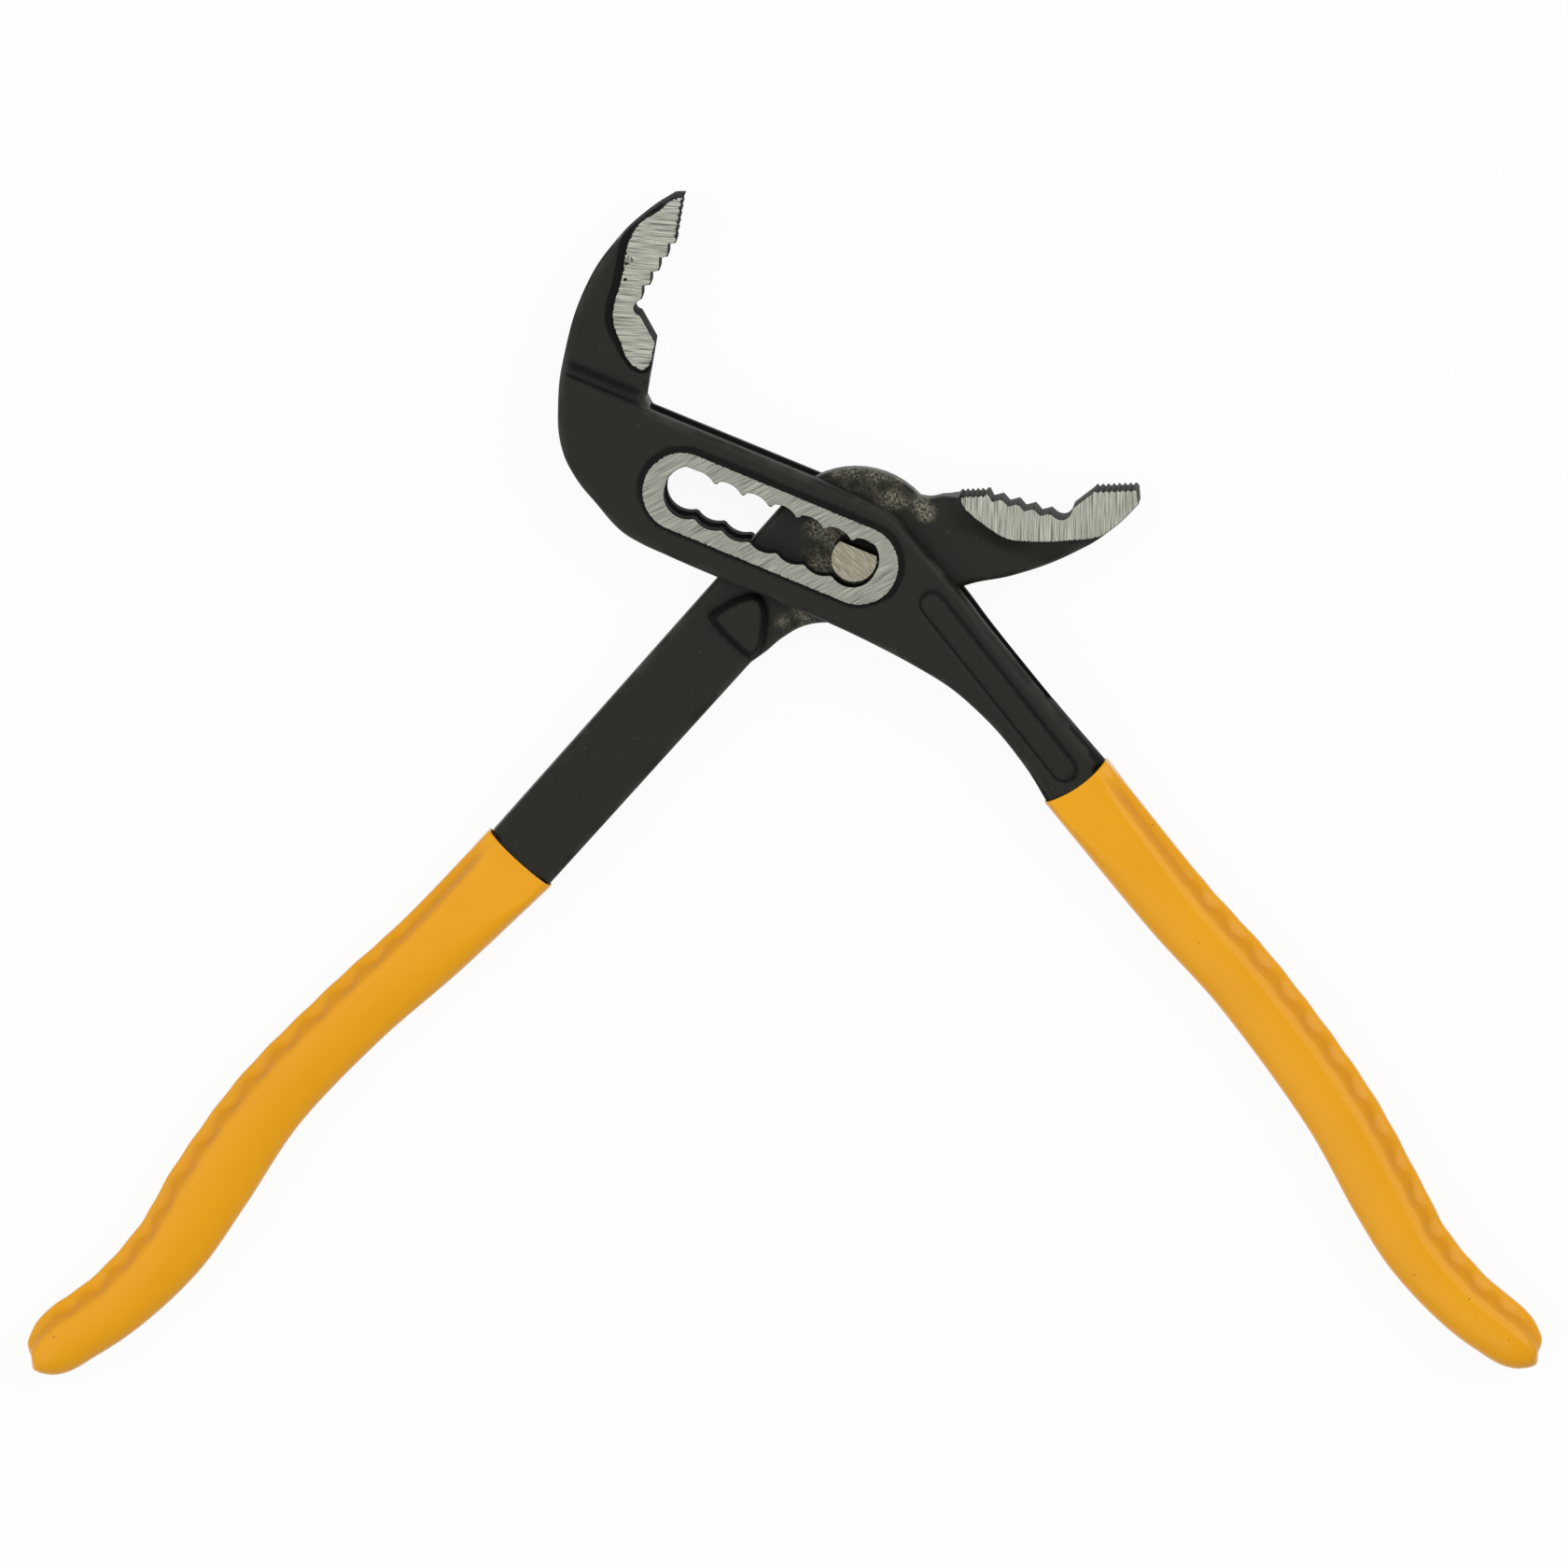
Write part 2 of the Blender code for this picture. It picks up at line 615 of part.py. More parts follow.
def pivot_pin(finish):
    """Pin, round where the hub turns on it, with a flat on each end that rides under the teeth."""
    pin = cylinder("pivot_pin", PIN_RADIUS, 0.0, 2 * SLOT_PAD_HALF, helper=False)
    wide = 2 * PIN_RADIUS
    corners = ((-wide, PIN_FLAT_HEIGHT), (wide, PIN_FLAT_HEIGHT), (wide, wide), (-wide, wide))
    turned = [slot_point(*corner) for corner in corners]
    flats = flat_solid("pin_flats", turned, SLOT_PAD_HALF + CUT_MARGIN)
    cut(flats, cylinder("pin_journal", 2 * wide, MID_HEIGHT - HUB_HALF, MID_HEIGHT + HUB_HALF))
    cut(pin, flats)
    pin.data.materials.append(finish)
    shade_round(pin)
    return pin


black_forging = material("black_forged_steel", (0.028, 0.028, 0.026), 0.45, 0.6)
pin_steel = material("ground_pin_steel", (0.50, 0.46, 0.34), 0.35, 1.0)
dipped_pvc = material("yellow_dipped_pvc", (0.79, 0.36, 0.02), 0.25, 0.0)

slotted_arm(black_forging)
grip("slotted_arm_grip", SLOTTED_HANDLE_PATH, 1, dipped_pvc)

# What slides along the slot and swings about the pin hangs on an empty on the pivot axis
pivot_axis = bpy.data.objects.new("pivot_axis", None)
PIECES.objects.link(pivot_axis)
moving = (
    pivot_pin(pin_steel),
    through_arm(black_forging),
    grip("through_arm_grip", THROUGH_HANDLE_PATH, -1, dipped_pvc),
)
for piece in moving:
    piece.parent = pivot_axis
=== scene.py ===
"""The looks of a pair of box-joint water pump pliers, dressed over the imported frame.

The tool lies flat and wide open. The pivot pin stands on the world Z axis, the back slot pad rests on
z = 0, and +Y points from the handles to the jaws. Sizes here are in millimetres until a mesh is made.
"""

from math import acos, asin, ceil, cos, pi, radians, sin

import bpy
import numpy as np
from mathutils import Matrix, Vector
from mathutils.geometry import delaunay_2d_cdt


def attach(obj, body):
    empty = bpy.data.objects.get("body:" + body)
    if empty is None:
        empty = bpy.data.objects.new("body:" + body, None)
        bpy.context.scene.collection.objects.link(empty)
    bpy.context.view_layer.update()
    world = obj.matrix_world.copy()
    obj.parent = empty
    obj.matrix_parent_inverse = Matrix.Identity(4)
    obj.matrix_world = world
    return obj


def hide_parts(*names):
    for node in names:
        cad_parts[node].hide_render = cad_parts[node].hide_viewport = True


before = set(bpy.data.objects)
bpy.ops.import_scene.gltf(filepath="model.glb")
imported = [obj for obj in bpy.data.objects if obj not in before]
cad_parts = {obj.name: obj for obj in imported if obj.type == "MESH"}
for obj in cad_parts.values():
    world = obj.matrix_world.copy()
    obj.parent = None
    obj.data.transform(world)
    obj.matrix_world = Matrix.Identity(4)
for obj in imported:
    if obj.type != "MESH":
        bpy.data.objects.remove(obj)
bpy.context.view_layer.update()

# Slotted arm
# The upper jaw, two cheeks round a slit, and a handle: one hot steel forging, coated black. The toothed
# slot and the slit are cut through it, and the jaw's face and the oval round the slot are ground bright.
MM = 0.001
MID_PLANE = 8.0
CHEEK_HALF = 7.3
SLOT_PAD_HALF = 8.0
JAW_HALF = 4.6
JAW_PAD_HALF = 5.5
HANDLE_END_HALF = 3.85
TANG_HALF = 3.0
SLIT_HALF = 3.5
LINE_SPACING = 0.4
SMOOTH_REACH = 0.39
GRID_SPACING = 0.6
GRID_FROM_EDGE = 0.3
GRID_FROM_CREASE = 0.4
CREASE_FROM_EDGE = 0.1
MERGE_DISTANCE = 1e-4
SLIVER_AREA = 1e-7
ROUND_SHARES = (0.05, 0.19, 0.41, 0.69, 1.0)
ROUND_ROW_CLEAR = 0.9
FORGED_ROUND = 1.5
HANDLE_ROUND = 2.3
HANDLE_ROUND_GROWS = 4
CUT_ROUND = 0.15
SLOTTED_CUT_EDGE = (1.2, 1.5)
SLOTTED_SHARP_TURN = radians(32)

SLOTTED_BACK = (
    (-30.1, 64.0),
    (-31.9, 64.0),
    (-36.0, 61.4, "smooth"),
    (-42.4, 55.5, "smooth"),
    (-47.7, 47.5, "smooth"),
    (-51.3, 36.2, "smooth"),
    (-52.4, 27.4, "smooth"),
    (-51.8, 19.5, "smooth"),
    (-49.3, 14.1, "smooth"),
    (-45.7, 9.6, "smooth"),
    (-41.3, 4.7, "smooth"),
    (-38.0, 2.6, "smooth"),
    (-33.0, 0.3),
    (13.5, -21.0, "smooth"),
    (21.3, -27.1, "smooth"),
    (29.6, -36.8, "smooth"),
)
SLOTTED_FRONT = (
    (34.8, -25.9, "smooth"),
    (23.5, -12.1, "smooth"),
    (19.2, -6.5, "smooth"),
    (14.5, -1.0, "smooth"),
    (9.8, 4.5, "smooth"),
    (7.3, 7.3, "smooth"),
    (2.0, 10.2, "smooth"),
    (-5.9, 13.8),
    (-36.0, 26.2),
    (-36.9, 28.2),
    (-35.2, 38.2),
)
SLOTTED_JAW_PAD = (
    (-28.0, 63.9),
    (-31.3, 63.9),
    (-32.7, 63.2, "smooth"),
    (-34.2, 61.8, "smooth"),
    (-38.0, 59.2, "smooth"),
    (-39.3, 57.2, "smooth"),
    (-40.1, 55.2, "smooth"),
    (-40.8, 51.2, "smooth"),
    (-41.4, 48.4, "smooth"),
    (-42.4, 45.1, "smooth"),
    (-42.6, 41.8, "smooth"),
    (-41.4, 38.4, "smooth"),
    (-40.0, 35.1, "smooth"),
    (-38.0, 33.4, "smooth"),
    (-37.1, 33.4, "smooth"),
    (-36.1, 34.6, "smooth"),
    (-35.3, 37.4, "smooth"),
    (-33.0, 39.0),
    (-26.0, 50.0),
)
SLOTTED_HANDLE_PATH = (
    (38.8, -40.1, 13.3),
    (56.3, -61.8, 13.0),
    (69.7, -76.9, 12.9),
    (84.7, -97.5, 13.0),
    (93.8, -113.9, 13.0),
    (99.8, -124.0, 12.1),
    (109.2, -134.0, 11.4),
    (120.3, -141.3, 11.0),
)
SLOTTED_HANDLE_WIDTH = 12.6
HANDLE_STEPS = 60
HANDLE_INSERT = 5.0
HANDLE_INSERT_STEP = 1.6
HANDLE_SHOULDER = (0.6, 0.9)
TANG_DROP = (2.0, 0.4)

FINE_TOOTH_DEPTH = 0.5
COARSE_TEETH = 4
SLOTTED_FINE_TEETH = 7
SLOTTED_FINE_ROW = ((-30.0, 64.5), (-31.5, 55.9))
SLOTTED_COARSE_TIP = (-32.9, 53.5)
SLOTTED_COARSE_STEP = (-1.53, -2.50)
SLOTTED_COARSE_ROOT = (0.05, 2.2)
SLOTTED_POCKET = ((-38.3, 45.5), (-38.95, 44.4, "smooth"), (-38.6, 43.4, "smooth"), (-37.85, 43.0))

PIN_RADIUS = 4.1
PIN_FLAT_HEIGHT = 2.1
SLOT_ANGLE = radians(22.55)
SLOT_SEATS = 7
SEAT_PITCH = 5.24
SLOT_LENGTH = (SLOT_SEATS - 1) * SEAT_PITCH
SEAT_RADIUS = PIN_RADIUS + 0.2
SEAT_DROP = 0.7
SLOT_END_RADIUS = PIN_RADIUS + 0.3
TOOTH_TIP_HEIGHT = PIN_FLAT_HEIGHT + 0.8
TOOTH_TIP = (0.85, 0.4)
NOTCH_SHIFT = 0.64
NOTCH_DROP = 0.4
NOTCH_REACH = 1.58
NOTCH_AT_JAW_END = radians(80)
NOTCH_AT_PIN_END = radians(105)
SLOT_JAW_END = radians(60)
SLOT_PIN_END = radians(122)
SLOT_PAD_RADIUS = 7.0
SLOT_PAD_OVERHANG = 1.2
ARC_STEP = radians(7)


def drawn(points, closed=True):
    """A line through (x, y) points, each stretch a cubic Bezier curve cut into short equal shares.

    At a smooth point the curve's control points lie along the mean direction of the two stretches that
    meet there, a set share of each away, and at a corner they lie a third of the way to the next point.
    """
    knots = np.array([point[:2] for point in points], float)
    smooth = np.array([len(point) > 2 for point in points])[:, None]
    after = np.roll(knots, -1, axis=0)
    chord = after - knots
    length = np.hypot(*chord.T)[:, None]
    lean = chord / length + np.roll(chord / length, 1, axis=0)
    lean /= np.hypot(*lean.T)[:, None]
    pull = SMOOTH_REACH * length
    leaving = knots + np.where(smooth, pull * lean, chord / 3)
    arriving = after - np.where(np.roll(smooth, -1), pull * np.roll(lean, -1, axis=0), chord / 3)
    stretches = []
    for start, near, far, end, size in zip(knots, leaving, arriving, after, length[:, 0]):
        share = np.linspace(0.0, 1.0, ceil(size / LINE_SPACING) + 1)[:-1, None]
        left = 1 - share
        stretches.append(
            start * left**3 + 3 * near * left**2 * share + 3 * far * left * share**2 + end * share**3
        )
    return np.vstack(stretches if closed else [*stretches[:-1], knots[-1:]])


def arc(centre, radius, start, end):
    """Points on part of a circle: the centre plus the radius times (cosine, sine) of even angles."""
    angles = np.linspace(start, end, ceil(abs(end - start) / ARC_STEP) + 1)
    return np.array(centre) + radius * np.column_stack([np.cos(angles), np.sin(angles)])


def along_slot(points):
    """Turns (along the slot from the pin to the jaw, square to it) into (x, y)."""
    along, up = np.array(points, float).T
    return np.column_stack(
        [up * sin(SLOT_ANGLE) - along * cos(SLOT_ANGLE), up * cos(SLOT_ANGLE) + along * sin(SLOT_ANGLE)]
    )


def fine_teeth(row, count):
    """Tips every step along a row, and roots half a step before them, square to the row on its right."""
    start, end = np.array(row)
    step = (end - start) / count
    inward = np.array([step[1], -step[0]]) / np.hypot(*step) * FINE_TOOTH_DEPTH
    place = np.arange(count)[:, None]
    pairs = np.stack([start + step * place + inward, start + step * (place + 0.5)], axis=1)
    return pairs.reshape(-1, 2)


def coarse_teeth(tip, step, root):
    """Tips every step from the first, each with its root just before it."""
    tips = np.array(tip) + np.array(step) * np.arange(COARSE_TEETH)[:, None]
    return np.stack([tips + root, tips], axis=1).reshape(-1, 2)


def through(knots, steps):
    """A Catmull-Rom curve through rows of numbers, with each stretch between two rows cut into steps."""
    knots = np.array(knots, float)
    knots = np.vstack([2 * knots[0] - knots[1], knots, 2 * knots[-1] - knots[-2]])
    before, start, end, after = (knots[shift : len(knots) - 3 + shift, None] for shift in range(4))
    share = np.linspace(0.0, 1.0, steps, endpoint=False)[:, None]
    bend = 2 * before - 5 * start + 4 * end - after
    twist = 3 * start - before - 3 * end + after
    curve = start + share * (end - before + share * (bend + share * twist)) / 2
    return np.vstack([curve.reshape(-1, knots.shape[1]), knots[-2:-1]])


def handle_line(path, spacing):
    """The line through (x, y, width) knots at even distances: places, directions, widths and distances."""
    fine = through(path, HANDLE_STEPS)
    reach = np.concatenate([[0.0], np.cumsum(np.hypot(*np.diff(fine[:, :2], axis=0).T))])
    distances = np.linspace(0.0, reach[-1], round(reach[-1] / spacing) + 1)
    places = np.column_stack([np.interp(distances, reach, column) for column in fine.T])
    directions = np.gradient(places[:, :2], axis=0)
    directions /= np.hypot(*directions.T)[:, None]
    return places[:, :2], directions, places[:, 2], distances


def handle_end(path, side, width):
    """Corners of a bare handle's end, which narrows to a tang inside its grip. The outer side comes last."""
    places, directions, _, _ = handle_line(path, LINE_SPACING)
    sideways = np.array([-directions[0][1], directions[0][0]]) * side
    wide, narrow = width / 2, width / 2 - HANDLE_INSERT_STEP
    along = np.array([*HANDLE_SHOULDER, HANDLE_INSERT, HANDLE_INSERT, *reversed(HANDLE_SHOULDER)])
    across = np.array([-wide, -narrow, -narrow, narrow, narrow, wide])
    return places[0] + along[:, None] * directions[0] + across[:, None] * sideways


def depth(places, loop, reach=5.0, batch=1500):
    """How deep each place lies inside a loop: its distance from the nearest stretch, negative outside.

    A place is inside where a ray from it to the right crosses the loop an odd number of times. Places
    further than the reach from the loop's box all count as that far outside.
    """
    run = np.roll(loop, -1, axis=0) - loop
    close = ((places > loop.min(0) - reach) & (places < loop.max(0) + reach)).all(1)
    found = []
    for some in np.array_split(places[close], close.sum() // batch + 1):
        x, y = (some[:, None] - loop).transpose(2, 0, 1)
        share = np.clip((x * run[:, 0] + y * run[:, 1]) / (run * run).sum(1), 0.0, 1.0)
        nearest = np.hypot(x - share * run[:, 0], y - share * run[:, 1]).min(1)
        crossed = (y < 0) != (y < run[:, 1])
        crossed &= (x * run[:, 1] - y * run[:, 0]) * np.sign(run[:, 1]) < 0
        found.append(np.where(crossed.sum(1) % 2 == 1, nearest, -nearest))
    deep = np.full(len(places), -reach)
    deep[close] = np.concatenate(found)
    return deep


def ease(share):
    """A smooth step from 0 to 1: three times the share squared less twice its cube."""
    share = np.clip(share, 0.0, 1.0)
    return share * share * (3 - 2 * share)


def bell(distance, width):
    """1 at no distance and falling off smoothly either side: e to the minus square of distance by width."""
    return np.exp(-((distance / width) ** 2))


def tang_drop(places, path):
    """How far the tang inside a grip lies below the bare handle's face, eased from one to the other."""
    line, directions, _, _ = handle_line(path, LINE_SPACING)
    start, length = TANG_DROP
    return (HANDLE_END_HALF - TANG_HALF) * ease(((places - line[0]) @ directions[0] - start) / length)


def spread(loop, reach):
    """A loop moved sideways, to its left where the reach is positive, along the mean normal at each point."""
    chord = np.roll(loop, -1, axis=0) - loop
    chord /= np.hypot(*chord.T)[:, None]
    mean = chord + np.roll(chord, 1, axis=0)
    mean /= np.hypot(*mean.T)[:, None]
    return loop + np.column_stack([-mean[:, 1], mean[:, 0]]) * np.reshape(reach, (-1, 1))


def clear_of(places, loops):
    """How far each place lies inside the first loop and outside the others, the holes."""
    return np.min([depth(places, loops[0]), *(-depth(places, hole) for hole in loops[1:])], axis=0)


def rounding(clear, radius):
    """How far a rounded edge lies below its face: a quarter circle, radius less the root of what is left."""
    short = np.clip(radius - clear, 0.0, radius)
    return radius - np.sqrt(radius**2 - short**2)


def shape(name, corners, faces):
    """A new object in the scene: corners in millimetres, and faces that list the corners round them."""
    mesh = bpy.data.meshes.new(name)
    mesh.from_pydata((corners * MM).tolist(), [], faces)
    made = bpy.data.objects.new(name, mesh)
    bpy.context.scene.collection.objects.link(made)
    return made


def forging(name, loops, round_at, creases, relief):
    """A plate whose half thickness is the relief at each (x, y), mirrored front to back, with rounded edges.

    The plan is covered by triangles over rows of points beside each edge, the crease lines, where the
    relief bends, and an even grid. Front and back share these, and a wall joins them round every loop.
    """
    rows = []
    for loop in loops:
        for share in ROUND_SHARES:
            reach = share * round_at(loop)
            row = spread(loop, reach)
            rows.append(row[clear_of(row, loops) > ROUND_ROW_CLEAR * reach])
    low, high = loops[0].min(0), loops[0].max(0)
    grid = np.stack(np.meshgrid(*(np.arange(a, b, GRID_SPACING) for a, b in zip(low, high))), axis=-1)
    grid[1::2, :, 0] += GRID_SPACING / 2
    grid = grid.reshape(-1, 2)
    grid = grid[clear_of(grid, loops) > round_at(grid) + GRID_FROM_EDGE * GRID_SPACING]
    for crease in creases:
        grid = grid[np.abs(depth(grid, crease)) > GRID_FROM_CREASE * GRID_SPACING]
    lines = [(loop, np.ones(len(loop), bool)) for loop in loops]
    lines += [(crease, clear_of(crease, loops) > CREASE_FROM_EDGE) for crease in creases]
    points, edges, count = [], [], 0
    for line, kept in lines:
        number = count + np.cumsum(kept) - 1
        joined = kept & np.roll(kept, -1)
        edges.append(np.column_stack([number, np.roll(number, -1)])[joined])
        points.append(line[kept])
        count += kept.sum()
    points = np.vstack([*points, *rows, grid])
    made = delaunay_2d_cdt(points.tolist(), np.vstack(edges).tolist(), [], 0, MERGE_DISTANCE)
    places, triangles = np.array(made[0]), np.array(made[2])
    corner, second, third = places[triangles].transpose(1, 0, 2)
    turn = np.cross(second - corner, third - corner)
    triangles[turn < 0] = triangles[turn < 0][:, ::-1]
    within = clear_of((corner + second + third) / 3, loops) > 0
    triangles = triangles[within & (np.abs(turn) > SLIVER_AREA)]
    sides = np.vstack([triangles[:, [0, 1]], triangles[:, [1, 2]], triangles[:, [2, 0]]])
    outer = sides[~np.isin(sides @ [len(places), 1], sides @ [1, len(places)])]
    half = relief(places) - rounding(np.maximum(clear_of(places, loops), 0.0), round_at(places))
    corners = np.vstack([np.column_stack([places, MID_PLANE + side * half]) for side in (1, -1)])
    behind = triangles[:, ::-1] + len(places)
    walls = np.column_stack([outer[:, 0], outer + len(places), outer[:, 1]])
    return shape(name, corners, [*triangles.tolist(), *behind.tolist(), *walls.tolist()])


def cut_slit(piece, loop, half):
    """Takes a flat slit, the loop carried the same way up and down from the middle plane, out of a piece."""
    count = len(loop)
    levels = [np.column_stack([loop, np.full(count, MID_PLANE + side * half)]) for side in (1, -1)]
    ring = np.arange(count)
    walls = np.column_stack([ring, ring + count, np.roll(ring, -1) + count, np.roll(ring, -1)])
    faces = [ring.tolist(), (ring[::-1] + count).tolist(), *walls.tolist()]
    cutter = shape("slit", np.vstack(levels), faces)
    step = piece.modifiers.new("slit", "BOOLEAN")
    step.operation = "DIFFERENCE"
    step.solver = "EXACT"
    step.object = cutter
    bpy.context.view_layer.update()
    seen = piece.evaluated_get(bpy.context.evaluated_depsgraph_get())
    whole = piece.data
    piece.data = bpy.data.meshes.new_from_object(seen)
    piece.modifiers.clear()
    bpy.data.objects.remove(cutter)
    bpy.data.meshes.remove(whole)


def store(piece, domain, **values):
    """Keeps one number or one (x, y, z) for each of the piece's points or faces, for its material to read."""
    for name, value in values.items():
        flat = value.ndim == 1
        kept = piece.data.attributes.new(name, "FLOAT" if flat else "FLOAT_VECTOR", domain)
        kept.data.foreach_set("value" if flat else "vector", value.astype(np.float32).ravel())


def plan_of(piece):
    """The (x, y) of each of the piece's points, and its height over the middle plane, in millimetres."""
    corners = np.empty(3 * len(piece.data.vertices), np.float32)
    piece.data.vertices.foreach_get("co", corners)
    corners = corners.reshape(-1, 3).astype(float) / MM
    return corners[:, :2], corners[:, 2] - MID_PLANE


def level_of(piece):
    """1 for each face that lies flat on the front or the back, and 0 for edges, walls and inside the slit."""
    faces = piece.data.polygons
    normals, centres = np.empty((2, 3 * len(faces)), np.float32)
    faces.foreach_get("normal", normals)
    faces.foreach_get("center", centres)
    outside = np.abs(centres[2::3] / MM - MID_PLANE) > SLIT_HALF + LEVEL_ABOVE_SLIT
    return (outside & (np.abs(normals[2::3]) > LEVEL_ENOUGH)).astype(float)


def soften(piece, angle):
    """Shades the piece smoothly, apart from edges that turn by more than the angle."""
    piece.data.shade_smooth()
    piece.data.set_sharp_from_angle(angle=angle)


def toothed_slot():
    """Round seats for the pin below, ratchet teeth above and round ends, clockwise as a hole's edge is."""
    half_seat = acos((SEAT_RADIUS - SEAT_DROP) / SEAT_RADIUS)
    rise = acos(NOTCH_REACH / SEAT_RADIUS)
    fall = pi - asin((TOOTH_TIP_HEIGHT + NOTCH_DROP) / SEAT_RADIUS)
    runs = []
    for seat in range(SLOT_SEATS):
        first = -pi if seat == 0 else -pi / 2 - half_seat
        last = 0.0 if seat == SLOT_SEATS - 1 else -pi / 2 + half_seat
        runs.append(arc((seat * SEAT_PITCH, -SEAT_DROP), SEAT_RADIUS, first, last))
    runs.append(arc((SLOT_LENGTH, 0.0), SLOT_END_RADIUS, 0.0, SLOT_JAW_END))
    for seat in reversed(range(SLOT_SEATS)):
        centre = (seat * SEAT_PITCH - NOTCH_SHIFT, -NOTCH_DROP)
        first = NOTCH_AT_JAW_END if seat == SLOT_SEATS - 1 else rise
        last = NOTCH_AT_PIN_END if seat == 0 else fall
        runs.append(arc(centre, SEAT_RADIUS, first, last))
        if seat > 0:
            flank = centre[0] - SEAT_PITCH + NOTCH_REACH
            runs.append(np.array([(flank + past, TOOTH_TIP_HEIGHT) for past in TOOTH_TIP]))
    runs.append(arc((0.0, 0.0), SLOT_END_RADIUS, SLOT_PIN_END, pi))
    return drawn(along_slot(np.vstack(runs)))


slot_ends = (
    arc((SLOT_LENGTH + SLOT_PAD_OVERHANG, -SEAT_DROP), SLOT_PAD_RADIUS, -pi / 2, pi / 2),
    arc((-SLOT_PAD_OVERHANG, -SEAT_DROP), SLOT_PAD_RADIUS, pi / 2, 3 * pi / 2),
)
slot_pad = drawn(along_slot(np.vstack(slot_ends)))
slotted_jaw_pad = drawn(SLOTTED_JAW_PAD)
slotted_teeth = [
    *fine_teeth(SLOTTED_FINE_ROW, SLOTTED_FINE_TEETH)[1:],
    SLOTTED_FINE_ROW[1],
    *coarse_teeth(SLOTTED_COARSE_TIP, SLOTTED_COARSE_STEP, SLOTTED_COARSE_ROOT),
    *SLOTTED_POCKET,
]
slotted_loops = [
    drawn(
        [
            *SLOTTED_BACK,
            *handle_end(SLOTTED_HANDLE_PATH, 1, SLOTTED_HANDLE_WIDTH),
            *SLOTTED_FRONT,
            *reversed(slotted_teeth),
        ]
    ),
    toothed_slot(),
]

JAW_STEP_START = (-36.0, 26.2)
JAW_FALLS = ((0.05, 0.35, 1.0), (1.5, 0.8, 1.0))
JAW_STEP_BOX = (42.5, 75.0, 60.0)
JAW_PAD_SLOPE = 0.45
JAW_LEDGE_DEPTH = 0.3
JAW_LEDGE_WIDTH = (0.7, 1.4)
JAW_LEDGE_WIDENS = (34.0, 41.0)
JAW_LEDGE_EDGE = 0.25
SLOT_PAD_WALL = 1.0
SLOT_PAD_LOWER_WALL = 0.4
SLOT_PAD_WALL_NARROWS = (1.6, 0.3)
TAPER_START = np.array([19.2, -6.5])
TAPER_RUN = np.array(SLOTTED_HANDLE_PATH[0][:2]) - TAPER_START
PANEL_ENDS = ((13.8, -8.1), (36.9, -37.8))
PANEL_HALF_WIDTH = 2.15
PANEL_GROOVE = 0.32
PANEL_GROOVE_WIDTH = (0.26, 0.5)

panel_run = np.subtract(*reversed(PANEL_ENDS))
panel_angle = np.arctan2(panel_run[1], panel_run[0])
panel_ends = (
    arc(PANEL_ENDS[0], PANEL_HALF_WIDTH, panel_angle + pi / 2, panel_angle + 3 * pi / 2),
    arc(PANEL_ENDS[1], PANEL_HALF_WIDTH, panel_angle - pi / 2, panel_angle + pi / 2),
)
panel = drawn(np.vstack(panel_ends))
panel_side = np.array([sin(-panel_angle), cos(panel_angle)])
up_the_slot = np.array([sin(SLOT_ANGLE), cos(SLOT_ANGLE)])


def handle_share(places):
    """How far along the handle each place lies: 0 at the cheeks and 1 at the grip."""
    return np.clip((places - TAPER_START) @ TAPER_RUN / (TAPER_RUN @ TAPER_RUN), 0.0, 1.0)


def slot_pad_wall(places):
    """How wide the slot pad's sloping wall is: narrow below the slot, wide above it and round its ends."""
    steep, start = SLOT_PAD_WALL_NARROWS
    lower = ease(-(places @ up_the_slot + SEAT_DROP) / SLOT_PAD_RADIUS * steep - start)
    return SLOT_PAD_WALL + (SLOT_PAD_LOWER_WALL - SLOT_PAD_WALL) * lower


def jaw_ledge(places):
    """How wide the sunk ledge round the jaw's ground face is: narrow at its foot, wider up its back."""
    low, high = JAW_LEDGE_WIDENS
    narrow, wide = JAW_LEDGE_WIDTH
    return narrow + (wide - narrow) * ease((places[:, 1] - low) / (high - low))


def over_panel(places):
    """How far each place lies across the oval panel: -1 at one side, 0 in the middle and 1 at the other."""
    return (places - PANEL_ENDS[0]) @ panel_side / PANEL_HALF_WIDTH


def panel_groove(places):
    """How much of the groove round the oval panel each place has: narrow on one side, wide on the other."""
    narrow, wide = PANEL_GROOVE_WIDTH
    return bell(depth(places, panel), narrow + (wide - narrow) * ease(over_panel(places) / 2 + 0.5))


def past_step(places):
    """How far each place lies past the cheeks' upper edge, on the jaw's side."""
    return (places - JAW_STEP_START) @ up_the_slot


